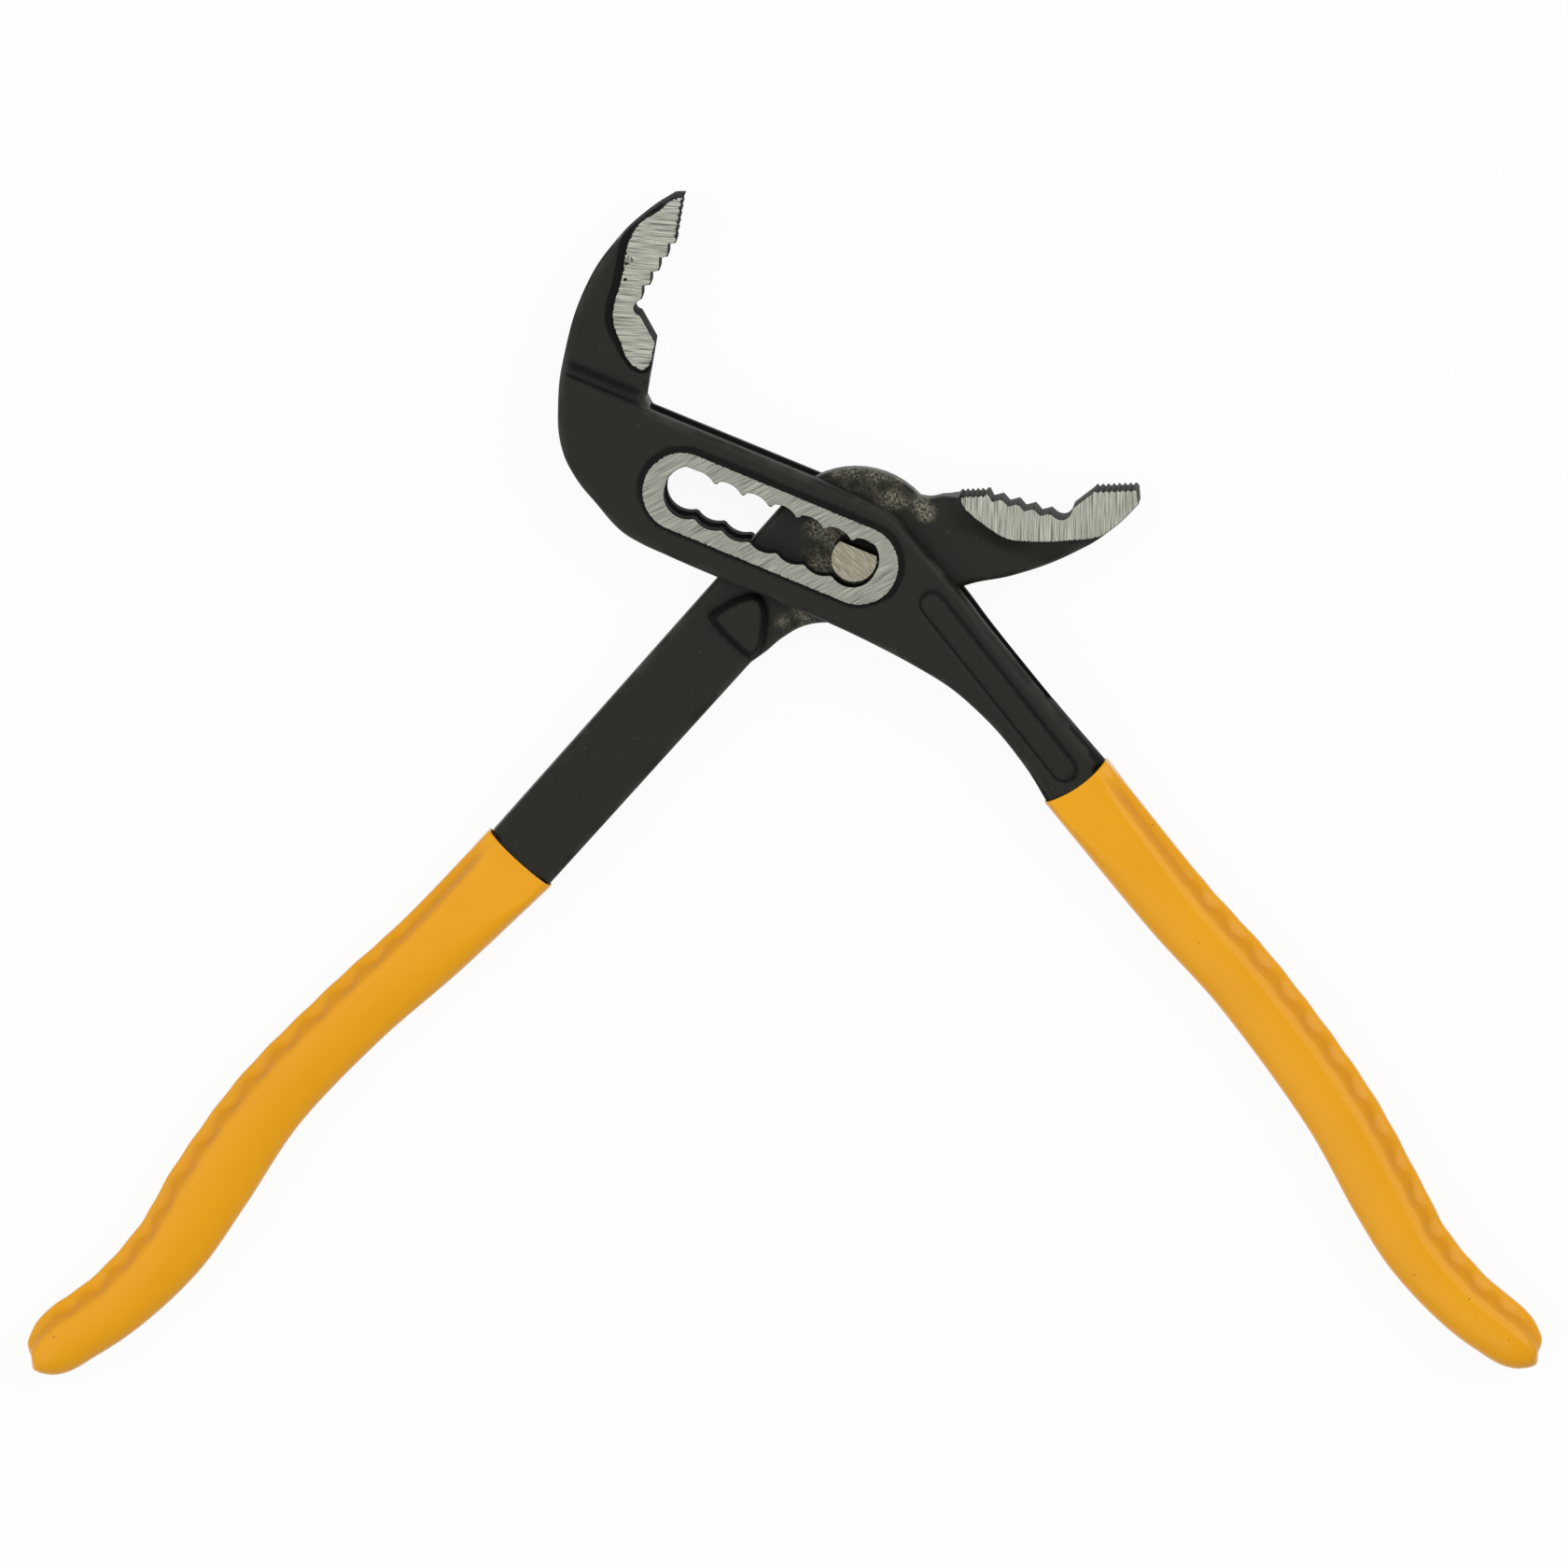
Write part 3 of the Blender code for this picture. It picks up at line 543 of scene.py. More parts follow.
def slotted_relief(places):
    """Half thickness: the cheeks, thinned evenly along the handle, and stepped down to the jaw in two falls.

    The ground faces stand proud of that on sloping walls, with a sunk ledge round the jaw's, and a fine
    groove draws the oval panel on the handle.
    """
    half = CHEEK_HALF + (HANDLE_END_HALF - CHEEK_HALF) * handle_share(places)
    beyond = past_step(places)
    for start, length, fall in JAW_FALLS:
        half = half - fall * ease((beyond - start) / length)
    start, end = sum(JAW_FALLS[0][:2]), JAW_FALLS[1][0]
    between = CHEEK_HALF - JAW_HALF - JAW_FALLS[0][2] - JAW_FALLS[1][2]
    half = half - between * np.clip((beyond - start) / (end - start), 0.0, 1.0)
    outside = -depth(places, slotted_jaw_pad)
    ledge = JAW_LEDGE_DEPTH * (1 - ease((outside - jaw_ledge(places)) / JAW_LEDGE_EDGE))
    rise = JAW_PAD_HALF - JAW_HALF + JAW_LEDGE_DEPTH
    half = np.maximum(half - ledge, JAW_PAD_HALF - rise * np.maximum(outside, 0.0) / JAW_PAD_SLOPE)
    outside = np.maximum(-depth(places, slot_pad), 0.0)
    rise = SLOT_PAD_HALF - CHEEK_HALF
    half = np.maximum(half, SLOT_PAD_HALF - rise * outside / slot_pad_wall(places))
    return half - PANEL_GROOVE * panel_groove(places) - tang_drop(places, SLOTTED_HANDLE_PATH)


def slotted_round(places):
    """Edge radius: small where the slot and teeth are cut, larger on the forged edge and along the handle."""
    cut = np.minimum(np.abs(depth(places, slotted_loops[1])), -depth(places, slotted_jaw_pad))
    outer = ease(over_panel(places)) * ease(handle_share(places) * HANDLE_ROUND_GROWS)
    forged = FORGED_ROUND + (HANDLE_ROUND - FORGED_ROUND) * outer
    start, length = SLOTTED_CUT_EDGE
    return CUT_ROUND + (forged - CUT_ROUND) * ease((cut - start) / length)


def step_line(beyond):
    """The edge of a fall on the jaw, parallel to the slot, as a box whose other sides miss the forging."""
    right, left, top = JAW_STEP_BOX
    low = np.array(JAW_STEP_START) @ up_the_slot + beyond
    return drawn(along_slot([(right, low), (right, low + top), (left, low + top), (left, low)]))


slotted_creases = [
    slotted_jaw_pad,
    spread(slotted_jaw_pad, -JAW_PAD_SLOPE),
    spread(slotted_jaw_pad, -jaw_ledge(slotted_jaw_pad)),
    spread(slotted_jaw_pad, -jaw_ledge(slotted_jaw_pad) - JAW_LEDGE_EDGE),
    slot_pad,
    spread(slot_pad, slot_pad_wall(slot_pad)),
    panel,
    spread(panel, PANEL_GROOVE_WIDTH[0]),
    spread(panel, -PANEL_GROOVE_WIDTH[0]),
    *(step_line(start + share * length) for start, length, _ in JAW_FALLS for share in (0, 1)),
]
slotted_piece = forging("slotted_forging", slotted_loops, slotted_round, slotted_creases, slotted_relief)

HUB_RADIUS = 15.6
BAR_ANGLE = radians(228.1)
SLIT_HUB_CLEARANCE = 0.6
SLIT_TOP_ANGLE = radians(80)
SLIT_BAR_REACH = 31.0
SLIT_OPEN = 12.0
SLIT_OPEN_UP = 48.0
SLIT_HANDLE_END = np.array([(15.0, -22.3), (34.8, -25.9)])

last_seat = along_slot([(SLOT_LENGTH, 0.0)])[0]
slit_end = arc(last_seat, HUB_RADIUS + SLIT_HUB_CLEARANCE, SLIT_TOP_ANGLE, BAR_ANGLE - pi / 2)
slit_run = SLIT_HANDLE_END[1] - SLIT_HANDLE_END[0]
slit_out = slit_run * SLIT_OPEN / np.hypot(*slit_run)
slit = np.vstack(
    [
        slit_end,
        slit_end[-1] + SLIT_BAR_REACH * np.array([cos(BAR_ANGLE), sin(BAR_ANGLE)]),
        SLIT_HANDLE_END[0] - slit_out - (0.0, SLIT_OPEN),
        SLIT_HANDLE_END[0] - slit_out,
        SLIT_HANDLE_END,
        SLIT_HANDLE_END[1] + slit_out,
        SLIT_HANDLE_END[1] + slit_out + (0.0, SLIT_OPEN_UP),
    ]
)
cut_slit(slotted_piece, slit, SLIT_HALF)
soften(slotted_piece, SLOTTED_SHARP_TURN)

LEVEL_ENOUGH = 0.93
LEVEL_ABOVE_SLIT = 0.2
SLOT_GRIND = (radians(28), 0.11, 6.0)
SLOTTED_JAW_GRIND = (radians(-5), 0.16, 7.0)
PAINT_LEFT = (-40.3, 52.9)
PAINT_LEFT_REACH = 2.2
PAINT_LEFT_DEPTH = (0.02, 0.35)
PAINTED_SHADE_FADE = 0.25
FALL_FADE = (0.7, 1.5)
OUT_OF_REACH = 9.0
RIM_OFF_BY_JAW = 1.0
SLOT_PAD_SHADE_SHARE = 0.2


def grind(places, angle, width, run):
    """Where each place lies across and along grinding lines at an angle to +X, counted in widths and runs."""
    across = places @ [-sin(angle), cos(angle)] / width
    return np.column_stack([across, places @ [cos(angle), sin(angle)] / run])


def slotted_painted_shade(places, rim):
    """1 where shade is painted dark on the coat: round the ground faces, in the panel's groove and at the
    falls.

    The dark lines of the jaw's falls fade out before the rim, where the forging is rounded off.
    """
    by_slot, by_jaw = -depth(places, slot_pad), -depth(places, slotted_jaw_pad)
    falls = [bell(past_step(places) - start - length / 2, length) for start, length, _ in JAW_FALLS]
    return np.max(
        [
            ease((slot_pad_wall(places) + PAINTED_SHADE_FADE - by_slot) / PAINTED_SHADE_FADE),
            ease((jaw_ledge(places) + PAINTED_SHADE_FADE - by_jaw) / PAINTED_SHADE_FADE),
            np.max(falls, axis=0) * ease((rim - FALL_FADE[0]) / FALL_FADE[1]),
            panel_groove(places),
        ],
        axis=0,
    )


slotted_plan, slotted_height = plan_of(slotted_piece)
on_slot, on_jaw = depth(slotted_plan, slot_pad), depth(slotted_plan, slotted_jaw_pad)
paint_left = np.hypot(*(slotted_plan - PAINT_LEFT).T) / PAINT_LEFT_REACH
on_jaw = np.minimum(on_jaw, PAINT_LEFT_DEPTH[0] + PAINT_LEFT_DEPTH[1] * paint_left**2)
lines = np.where(
    (on_jaw > on_slot)[:, None],
    grind(slotted_plan, *SLOTTED_JAW_GRIND),
    grind(slotted_plan, *SLOT_GRIND),
)
rim = np.maximum(clear_of(slotted_plan, slotted_loops[:1]), 0.0)
# Painted shade: the coat is darkened round the ground faces, in the panel's groove, along the jaw's falls,
# and over every face inside the slit.
painted_shade = slotted_painted_shade(slotted_plan, rim)
painted_shade[np.abs(slotted_height) < SLIT_HALF + LEVEL_ABOVE_SLIT] = 1.0
never_bare = np.full(len(slotted_plan), -OUT_OF_REACH)
# The slot pad's ground steel is darker than the jaw's, a painted shade.
store(
    slotted_piece,
    "POINT",
    grinding=np.column_stack([lines, np.maximum(on_slot, on_jaw)]),
    wear=np.column_stack([np.where(on_jaw > -RIM_OFF_BY_JAW, OUT_OF_REACH, rim), never_bare, painted_shade]),
    dull=np.where(on_slot > on_jaw, SLOT_PAD_SHADE_SHARE, 0.0),
)
store(slotted_piece, "FACE", level=level_of(slotted_piece))

COAT_BLACK = "#161712"
COAT_GREY = "#1E1F19"
# Painted shade for grooves, pad walls, the falls and the slit.
COAT_PAINTED_SHADE = "#080807"
# Paler edges: the coat rubbed through, and a painted highlight.
WORN_AND_HIGHLIT_EDGE = "#3D3D39"
SPECK_GREY = "#555651"
GROUND_DARK = "#565650"
GROUND_BRIGHT = "#9D9E93"
# Painted shade for the slot pad's ground steel.
GROUND_PAINTED_SHADE = "#373733"
TOOTH_WALL = "#3A3A37"
BARE_BROWN = "#22221B"
BARE_LIGHT = "#848070"
COAT_PATCH = 7.0
COAT_PEEL = 0.5
COAT_RAG = 0.5
COAT_SPECK = 1.7
COAT_SPECK_SIZE = 0.14
BARE_GRAIN = 0.45
BARE_PATCH = 3.5
RAGGED = 0.2
CUT_EDGE = (-0.03, 0.05)
TOOTH_RIM = 0.1
BARE_WANDERS = 2.5
BARE_EDGE = (-0.5, 1.5)
WORN_AND_HIGHLIT_RIM = (0.2, 1.4)
STEEL_BUMP = 0.1
PAINT_DOT = (-40.45 * MM, 49.4 * MM, (MID_PLANE + JAW_PAD_HALF) * MM)
PAINT_DOT_RADIUS = 0.3
# A Mix node's colour sockets go by number, because its sockets for plain numbers have the same names.
COLOUR_A = 6
COLOUR_B = 7
COLOUR_OUT = 2


def linear(colour):
    """An sRGB hex colour as the linear red, green, blue and alpha that shaders work in, by the sRGB curve."""
    parts = np.array([int(colour[place : place + 2], 16) for place in (1, 3, 5)]) / 255
    return (*np.where(parts <= 0.04045, parts / 12.92, ((parts + 0.055) / 1.055) ** 2.4), 1.0)


def add(tree, kind, inputs=(), **settings):
    """Adds a node: settings are its options, and inputs give each socket a value or a socket to link."""
    made = tree.nodes.new("ShaderNode" + kind)
    for option, value in settings.items():
        setattr(made, option, value)
    for socket, value in dict(inputs).items():
        if isinstance(value, bpy.types.NodeSocket):
            tree.links.new(value, made.inputs[socket])
        else:
            made.inputs[socket].default_value = value
    return made.outputs


def new_finish(name):
    """An empty material: its node tree and its one shader."""
    made = bpy.data.materials.new(name)
    made.use_nodes = True
    tree = made.node_tree
    return made, tree, tree.nodes["Principled BSDF"]


def black_coated_forging():
    """Forged steel, phosphated and oiled black: a soft dark sheen, orange peel, dust, and paler edges that
    are partly the coat rubbed through and partly a painted highlight.

    Ground faces show bare steel with straight grinding lines, the slot pad's darkened by a painted shade, the
    teeth's sides are matt grey where the coat was cut through, and rubbed faces are bare, brown and grainy. A
    painted shade darkens the coat round the ground faces, in grooves, at the falls and inside the slit. The
    grain and the lines are drawn coarser than the real ones, which are too fine to show.
    """
    made, tree, shader = new_finish("black_coated_forged_steel")
    place = add(tree, "TexCoord")["Object"]
    grinding = add(tree, "Attribute", attribute_name="grinding")["Vector"]
    ground_depth = add(tree, "SeparateXYZ", {"Vector": grinding})["Z"]
    wear = add(tree, "Attribute", attribute_name="wear")["Vector"]
    wear = add(tree, "SeparateXYZ", {"Vector": wear})
    level = add(tree, "Attribute", attribute_name="level")["Fac"]
    sizes = ((COAT_PEEL, 3.0), (COAT_PATCH, 5.0), (COAT_RAG, 3.0), (BARE_GRAIN, 4.0), (BARE_PATCH, 4.0))
    peel, patch, rag, grain, cloud = (
        add(tree, "TexNoise", {"Vector": place, "Scale": 1 / (size * MM), "Detail": detail})["Fac"]
        for size, detail in sizes
    )
    dust = add(tree, "TexVoronoi", {"Vector": place, "Scale": 1 / (COAT_SPECK * MM)})
    flat_lines = add(tree, "VectorMath", {0: grinding, 1: (1.0, 1.0, 0.0)}, operation="MULTIPLY")["Vector"]
    line = add(tree, "TexNoise", {"Vector": flat_lines, "Scale": 1.0, "Detail": 4.0, "Roughness": 0.6})["Fac"]

    ragged = {"Value": rag, "From Min": 0.3, "From Max": 0.7, "To Min": -RAGGED, "To Max": RAGGED}
    ragged = add(tree, "MapRange", ragged)["Result"]
    deep = add(tree, "Math", {0: ground_depth, 1: ragged}, operation="ADD")["Value"]
    is_cut = {"Value": deep, "From Min": CUT_EDGE[0], "From Max": CUT_EDGE[1]}
    is_cut = add(tree, "MapRange", is_cut)["Result"]
    away = add(tree, "VectorMath", {0: place, 1: PAINT_DOT}, operation="DISTANCE")["Value"]
    no_dot = add(tree, "Math", {0: away, 1: PAINT_DOT_RADIUS * MM}, operation="GREATER_THAN")["Value"]
    bright = add(tree, "Math", {0: level, 1: no_dot}, operation="MULTIPLY")["Value"]
    is_ground = add(tree, "Math", {0: is_cut, 1: bright}, operation="MULTIPLY")["Value"]
    at_rim = add(tree, "Math", {0: wear["X"], 1: TOOTH_RIM}, operation="LESS_THAN")["Value"]
    is_tooth = add(tree, "Math", {0: is_cut, 1: at_rim}, operation="MULTIPLY")["Value"]
    wide = {"Value": cloud, "To Min": -BARE_WANDERS, "To Max": BARE_WANDERS}
    wide = add(tree, "MapRange", wide)["Result"]
    rubbed = add(tree, "Math", {0: wear["Y"], 1: wide}, operation="ADD")["Value"]
    is_bare = {"Value": rubbed, "From Min": BARE_EDGE[0], "From Max": BARE_EDGE[1]}
    is_bare = add(tree, "MapRange", is_bare)["Result"]
    # Paler patches near the rim: partly the coat rubbed through and partly a painted highlight.
    start, end = WORN_AND_HIGHLIT_RIM
    near = {"Value": wear["X"], "From Min": start, "From Max": end, "To Min": 0.8, "To Max": 0.0}
    near = add(tree, "MapRange", near)["Result"]
    worn_and_highlit_patches = add(tree, "MapRange", {"Value": patch, "From Min": 0.45, "From Max": 0.65})["Result"]
    is_worn_and_highlit = add(tree, "Math", {0: near, 1: worn_and_highlit_patches}, operation="MULTIPLY")["Value"]
    size = COAT_SPECK_SIZE / COAT_SPECK
    speck = {"Value": dust["Distance"], "From Min": size / 2, "From Max": size, "To Min": 1.0, "To Max": 0.0}
    speck = add(tree, "MapRange", speck)["Result"]
    rare = add(tree, "MapRange", {"Value": dust["Color"], "From Min": 0.62, "From Max": 0.8})["Result"]
    is_speck = add(tree, "Math", {0: speck, 1: rare}, operation="MULTIPLY")["Value"]

    fine = add(tree, "MapRange", {"Value": grain, "From Min": 0.38, "From Max": 0.68})["Result"]
    broad = add(tree, "MapRange", {"Value": cloud, "From Min": 0.35, "From Max": 0.62})["Result"]
    tone = add(tree, "Math", {0: fine, 1: broad}, operation="MULTIPLY")["Value"]
    bare_steel = {"Factor": tone, COLOUR_A: linear(BARE_BROWN), COLOUR_B: linear(BARE_LIGHT)}
    bare_steel = add(tree, "Mix", bare_steel, data_type="RGBA")[COLOUR_OUT]
    streak = add(tree, "MapRange", {"Value": line, "From Min": 0.38, "From Max": 0.57})["Result"]
    ground_steel = {"Factor": streak, COLOUR_A: linear(GROUND_DARK), COLOUR_B: linear(GROUND_BRIGHT)}
    ground_steel = add(tree, "Mix", ground_steel, data_type="RGBA")[COLOUR_OUT]
    # Painted shade: the slot pad's ground steel is darkened.
    dull = add(tree, "Attribute", attribute_name="dull")["Fac"]
    ground_steel = {"Factor": dull, COLOUR_A: ground_steel, COLOUR_B: linear(GROUND_PAINTED_SHADE)}
    ground_steel = add(tree, "Mix", ground_steel, data_type="RGBA")[COLOUR_OUT]
    # Layers over the black: random grey patches, paler edges with a painted highlight, dust specks, painted
    # shade, bare steel, the cut teeth's sides and the ground steel.
    colour = linear(COAT_BLACK)
    for amount, shade in (
        (patch, linear(COAT_GREY)),
        (is_worn_and_highlit, linear(WORN_AND_HIGHLIT_EDGE)),
        (is_speck, linear(SPECK_GREY)),
        (wear["Z"], linear(COAT_PAINTED_SHADE)),
        (is_bare, bare_steel),
        (is_tooth, linear(TOOTH_WALL)),
        (is_ground, ground_steel),
    ):
        layer = {"Factor": amount, COLOUR_A: colour, COLOUR_B: shade}
        colour = add(tree, "Mix", layer, data_type="RGBA")[COLOUR_OUT]
    tree.links.new(colour, shader.inputs["Base Color"])

    half_metal = add(tree, "Math", {0: is_bare, 1: 0.4}, operation="MULTIPLY")["Value"]
    half_metal = add(tree, "Math", {0: half_metal, 1: is_tooth}, operation="MAXIMUM")["Value"]
    metal = add(tree, "Math", {0: is_ground, 1: half_metal}, operation="MAXIMUM")["Value"]
    tree.links.new(metal, shader.inputs["Metallic"])
    satin = add(tree, "MapRange", {"Value": patch, "To Min": 0.42, "To Max": 0.55})["Result"]
    satin = add(tree, "Mix", {"Factor": wear["Z"], "A": satin, "B": 0.8})["Result"]
    brushed = add(tree, "MapRange", {"Value": line, "To Min": 0.32, "To Max": 0.5})["Result"]
    rough = add(tree, "Mix", {"Factor": is_ground, "A": satin, "B": brushed})["Result"]
    tree.links.new(rough, shader.inputs["Roughness"])
    height = add(tree, "Mix", {"Factor": is_ground, "A": peel, "B": line})["Result"]
    bump = add(tree, "Bump", {"Height": height, "Strength": 0.12, "Distance": STEEL_BUMP * MM})["Normal"]
    tree.links.new(bump, shader.inputs["Normal"])
    shader.inputs["Specular IOR Level"].default_value = 0.15
    return made


forged_finish = black_coated_forging()
slotted_piece.data.materials.clear()
slotted_piece.data.materials.append(forged_finish)
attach(slotted_piece, "slotted_arm")
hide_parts("slotted_arm")

# Through arm
# The lower jaw, the round hub that passes through the slit, a stop boss and a straight handle bar: a second
# forging, coated black like the first. Its jaw is ground bright, and the hub is rubbed bare by the cheeks.
HUB_HALF = 3.2
STOP_BOSS_HALF = 5.5
BORE_RADIUS = PIN_RADIUS + 0.05
BAR_WIDTH = 13.7
BAR_ROUND = 1.35
THROUGH_CUT_EDGE = (0.8, 1.5)
THROUGH_SHARP_TURN = radians(40)
BAR_THICKENS = (45.0, 72.0)
THROUGH_HANDLE_PATH = (
    (-58.9, -53.5, 14.8),
    (-74.6, -69.1, 13.6),
    (-89.0, -82.0, 13.1),
    (-103.7, -97.1, 13.5),
    (-114.3, -112.2, 14.4),
    (-121.8, -123.7, 13.3),
    (-132.4, -134.2, 12.0),
    (-146.0, -142.7, 11.6),
)
THROUGH_LOWER = (
    (-18.5, -19.0),
    (-16.0, -17.2, "smooth"),
    (-12.7, -14.5, "smooth"),
    (-8.6, -12.4, "smooth"),
    (0.0, -11.8, "smooth"),
    (10.0, -9.5, "smooth"),
    (19.7, -5.2, "smooth"),
    (28.1, -3.4, "smooth"),
    (37.7, 0.2, "smooth"),
    (46.4, 5.8, "smooth"),
    (50.2, 9.5),
)
THROUGH_JAW_PAD = (
    (52.0, 14.0),
    (18.9, 14.0),
    (18.9, 9.95),
    (19.8, 8.45, "smooth"),
    (21.1, 7.3, "smooth"),
    (24.7, 4.65, "smooth"),
    (26.9, 3.45, "smooth"),
    (28.3, 3.15, "smooth"),
    (41.0, 3.4, "smooth"),
    (43.2, 3.8, "smooth"),
    (46.5, 5.2),
    (52.0, 9.0),
)
STOP_BOSS = (
    (-25.0, -9.8, "smooth"),
    (-18.5, -6.7, "smooth"),
    (-17.1, -6.9, "smooth"),
    (-16.0, -8.3, "smooth"),
    (-15.9, -13.6, "smooth"),
    (-17.1, -17.3, "smooth"),
    (-18.3, -18.1, "smooth"),
    (-19.6, -17.3, "smooth"),
    (-25.2, -11.6, "smooth"),
    (-25.8, -10.5, "smooth"),
)
THROUGH_MOUTH_START = (15.5, 10.7)
THROUGH_REAR_TEETH = 6
THROUGH_REAR_ROW = ((18.3, 11.2), (23.7, 11.4))
THROUGH_COARSE_TIP = (26.05, 10.5)
THROUGH_COARSE_STEP = (2.84, -0.83)
THROUGH_COARSE_ROOT = (-1.7, -0.45)
THROUGH_POCKET = (
    (35.1, 7.55),
    (35.9, 7.0, "smooth"),
    (37.1, 6.9, "smooth"),
    (38.1, 7.65, "smooth"),
    (38.6, 8.9),
)
THROUGH_TIP_TEETH = 8
THROUGH_TIP_ROW = ((42.1, 12.1), (49.9, 12.4))
THROUGH_TIP_END = (50.0, 11.9)
HUB_NECK = (13.2, 10.3, "smooth")
HUB_NECK_ANGLE = radians(42.5)
CHEEK_EDGE = np.array([-5.9, 13.8])
JAW_CLIMB_START = 0.3
JAW_CLIMB_FROM = (13.5, 5.0)
JAW_CLIMB_POWER = 1.5
SMALLEST_REACH = 1e-6
BOSS_WALL = 0.9
BOSS_WALL_BEND = 0.4
BOSS_GROOVE = 0.2
BOSS_GROOVE_WIDTH = 0.7

through_jaw_pad = drawn(THROUGH_JAW_PAD)
stop_boss = drawn(STOP_BOSS)
through_teeth = [
    THROUGH_MOUTH_START,
    *fine_teeth(THROUGH_REAR_ROW, THROUGH_REAR_TEETH),
    THROUGH_REAR_ROW[1],
    *coarse_teeth(THROUGH_COARSE_TIP, THROUGH_COARSE_STEP, THROUGH_COARSE_ROOT),
    *THROUGH_POCKET,
    *fine_teeth(THROUGH_TIP_ROW, THROUGH_TIP_TEETH),
    THROUGH_TIP_END,
]
hub_arc = arc((0.0, 0.0), HUB_RADIUS, HUB_NECK_ANGLE, BAR_ANGLE - pi / 2)
through_loops = [
    drawn(
        [
            *hub_arc,
            *reversed(handle_end(THROUGH_HANDLE_PATH, -1, BAR_WIDTH)),
            *THROUGH_LOWER,
            *reversed(through_teeth),
            HUB_NECK,
        ]
    ),
    arc((0.0, 0.0), BORE_RADIUS, 2 * pi, 0.0)[:-1],
]


def through_relief(places):
    """Half thickness: a flat hub, a bar that thickens to its grip, a jaw that climbs to its face, and a boss.

    The jaw climbs from the line of the cheeks' edge, because what lies behind it slides into the slit: by
    the distance past that line over the sum of that and the distance from the face, raised to a power.
    """
    start, end = BAR_THICKENS
    down_bar = -places.sum(1) / 2**0.5
    half = HUB_HALF + (HANDLE_END_HALF - HUB_HALF) * ease((down_bar - start) / (end - start))
    outside = np.maximum(-depth(places, through_jaw_pad), 0.0)
    beyond = np.maximum((places - CHEEK_EDGE) @ up_the_slot - JAW_CLIMB_START, 0.0)
    start, length = JAW_CLIMB_FROM
    climb = (beyond / np.maximum(beyond + outside, SMALLEST_REACH)) ** JAW_CLIMB_POWER
    half = half + (JAW_PAD_HALF - HUB_HALF) * climb * ease((places[:, 0] - start) / length)
    inside = depth(places, stop_boss)
    half = half - BOSS_GROOVE * bell(np.maximum(-inside, 0.0), BOSS_GROOVE_WIDTH)
    rise = (STOP_BOSS_HALF - half) * np.sin(np.clip(inside / BOSS_WALL, 0.0, 1.0) * pi / 2)
    return half + rise - tang_drop(places, THROUGH_HANDLE_PATH)


def through_round(places):
    """Edge radius: small at the teeth and the bore, and larger where the forging's edge is left."""
    cut = np.minimum(np.abs(depth(places, through_loops[1])), -depth(places, through_jaw_pad))
    start, length = THROUGH_CUT_EDGE
    return CUT_ROUND + (BAR_ROUND - CUT_ROUND) * ease((cut - start) / length)


through_creases = [
    through_jaw_pad,
    stop_boss,
    spread(stop_boss, -BOSS_WALL_BEND * BOSS_WALL),
    spread(stop_boss, -BOSS_WALL),
]
through_piece = forging("through_forging", through_loops, through_round, through_creases, through_relief)
soften(through_piece, THROUGH_SHARP_TURN)

PIN_BARE_RADIUS = 9.8
HUB_BARE_RADIUS = 16.9
HUB_BARE_FROM = 0.5
NECK_BARE = (-10.5, -12.2)
NECK_BARE_RADIUS = 3.2
THROUGH_JAW_GRIND = (radians(89), 0.14, 8.0)
# How far and how dark the painted shade reaches round the jaw's ground face and the stop boss.
JAW_SHADE_REACH = 0.45
JAW_SHADE_DARK = 0.8
BOSS_SHADE_REACH = 0.35

through_plan, _ = plan_of(through_piece)
from_pin = np.hypot(*through_plan.T)
by_cheek = (through_plan - CHEEK_EDGE) @ up_the_slot - HUB_BARE_FROM
on_hub = np.minimum(by_cheek, HUB_BARE_RADIUS - from_pin)
on_neck = NECK_BARE_RADIUS - np.hypot(*(through_plan - NECK_BARE).T)
bare = np.max([PIN_BARE_RADIUS - from_pin, on_hub, on_neck], axis=0)
by_jaw, in_boss = -depth(through_plan, through_jaw_pad), depth(through_plan, stop_boss)
by_boss = np.maximum(in_boss - BOSS_WALL, -in_boss)
# Painted shade: the coat is darkened at the foot of the jaw's ground face and round the stop boss.
jaw_painted_shade = ease((JAW_SHADE_REACH - by_jaw) / PAINTED_SHADE_FADE) * JAW_SHADE_DARK
painted_shade = np.maximum(jaw_painted_shade, ease((BOSS_SHADE_REACH - by_boss) / PAINTED_SHADE_FADE))
rim = np.maximum(clear_of(through_plan, through_loops[:1]), 0.0)
store(
    through_piece,
    "POINT",
    grinding=np.column_stack([grind(through_plan, *THROUGH_JAW_GRIND), -by_jaw]),
    wear=np.column_stack([rim, bare, painted_shade]),
)
store(through_piece, "FACE", level=level_of(through_piece))
through_piece.data.materials.append(forged_finish)
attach(through_piece, "through_arm")
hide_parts("through_arm")

# Pivot pin
# A turned steel pin that rides in the seats of the slot: round where the hub turns on it, and milled flat
# at both ends so that it slides under the slot's teeth. Its ends are ground flush with the slot pads.
PIN_EDGE = 0.1
PIN_SIDES = 96
PIN_SHARP_TURN = radians(30)
PIN_GRIND = (radians(-50), 0.2, 2.6)

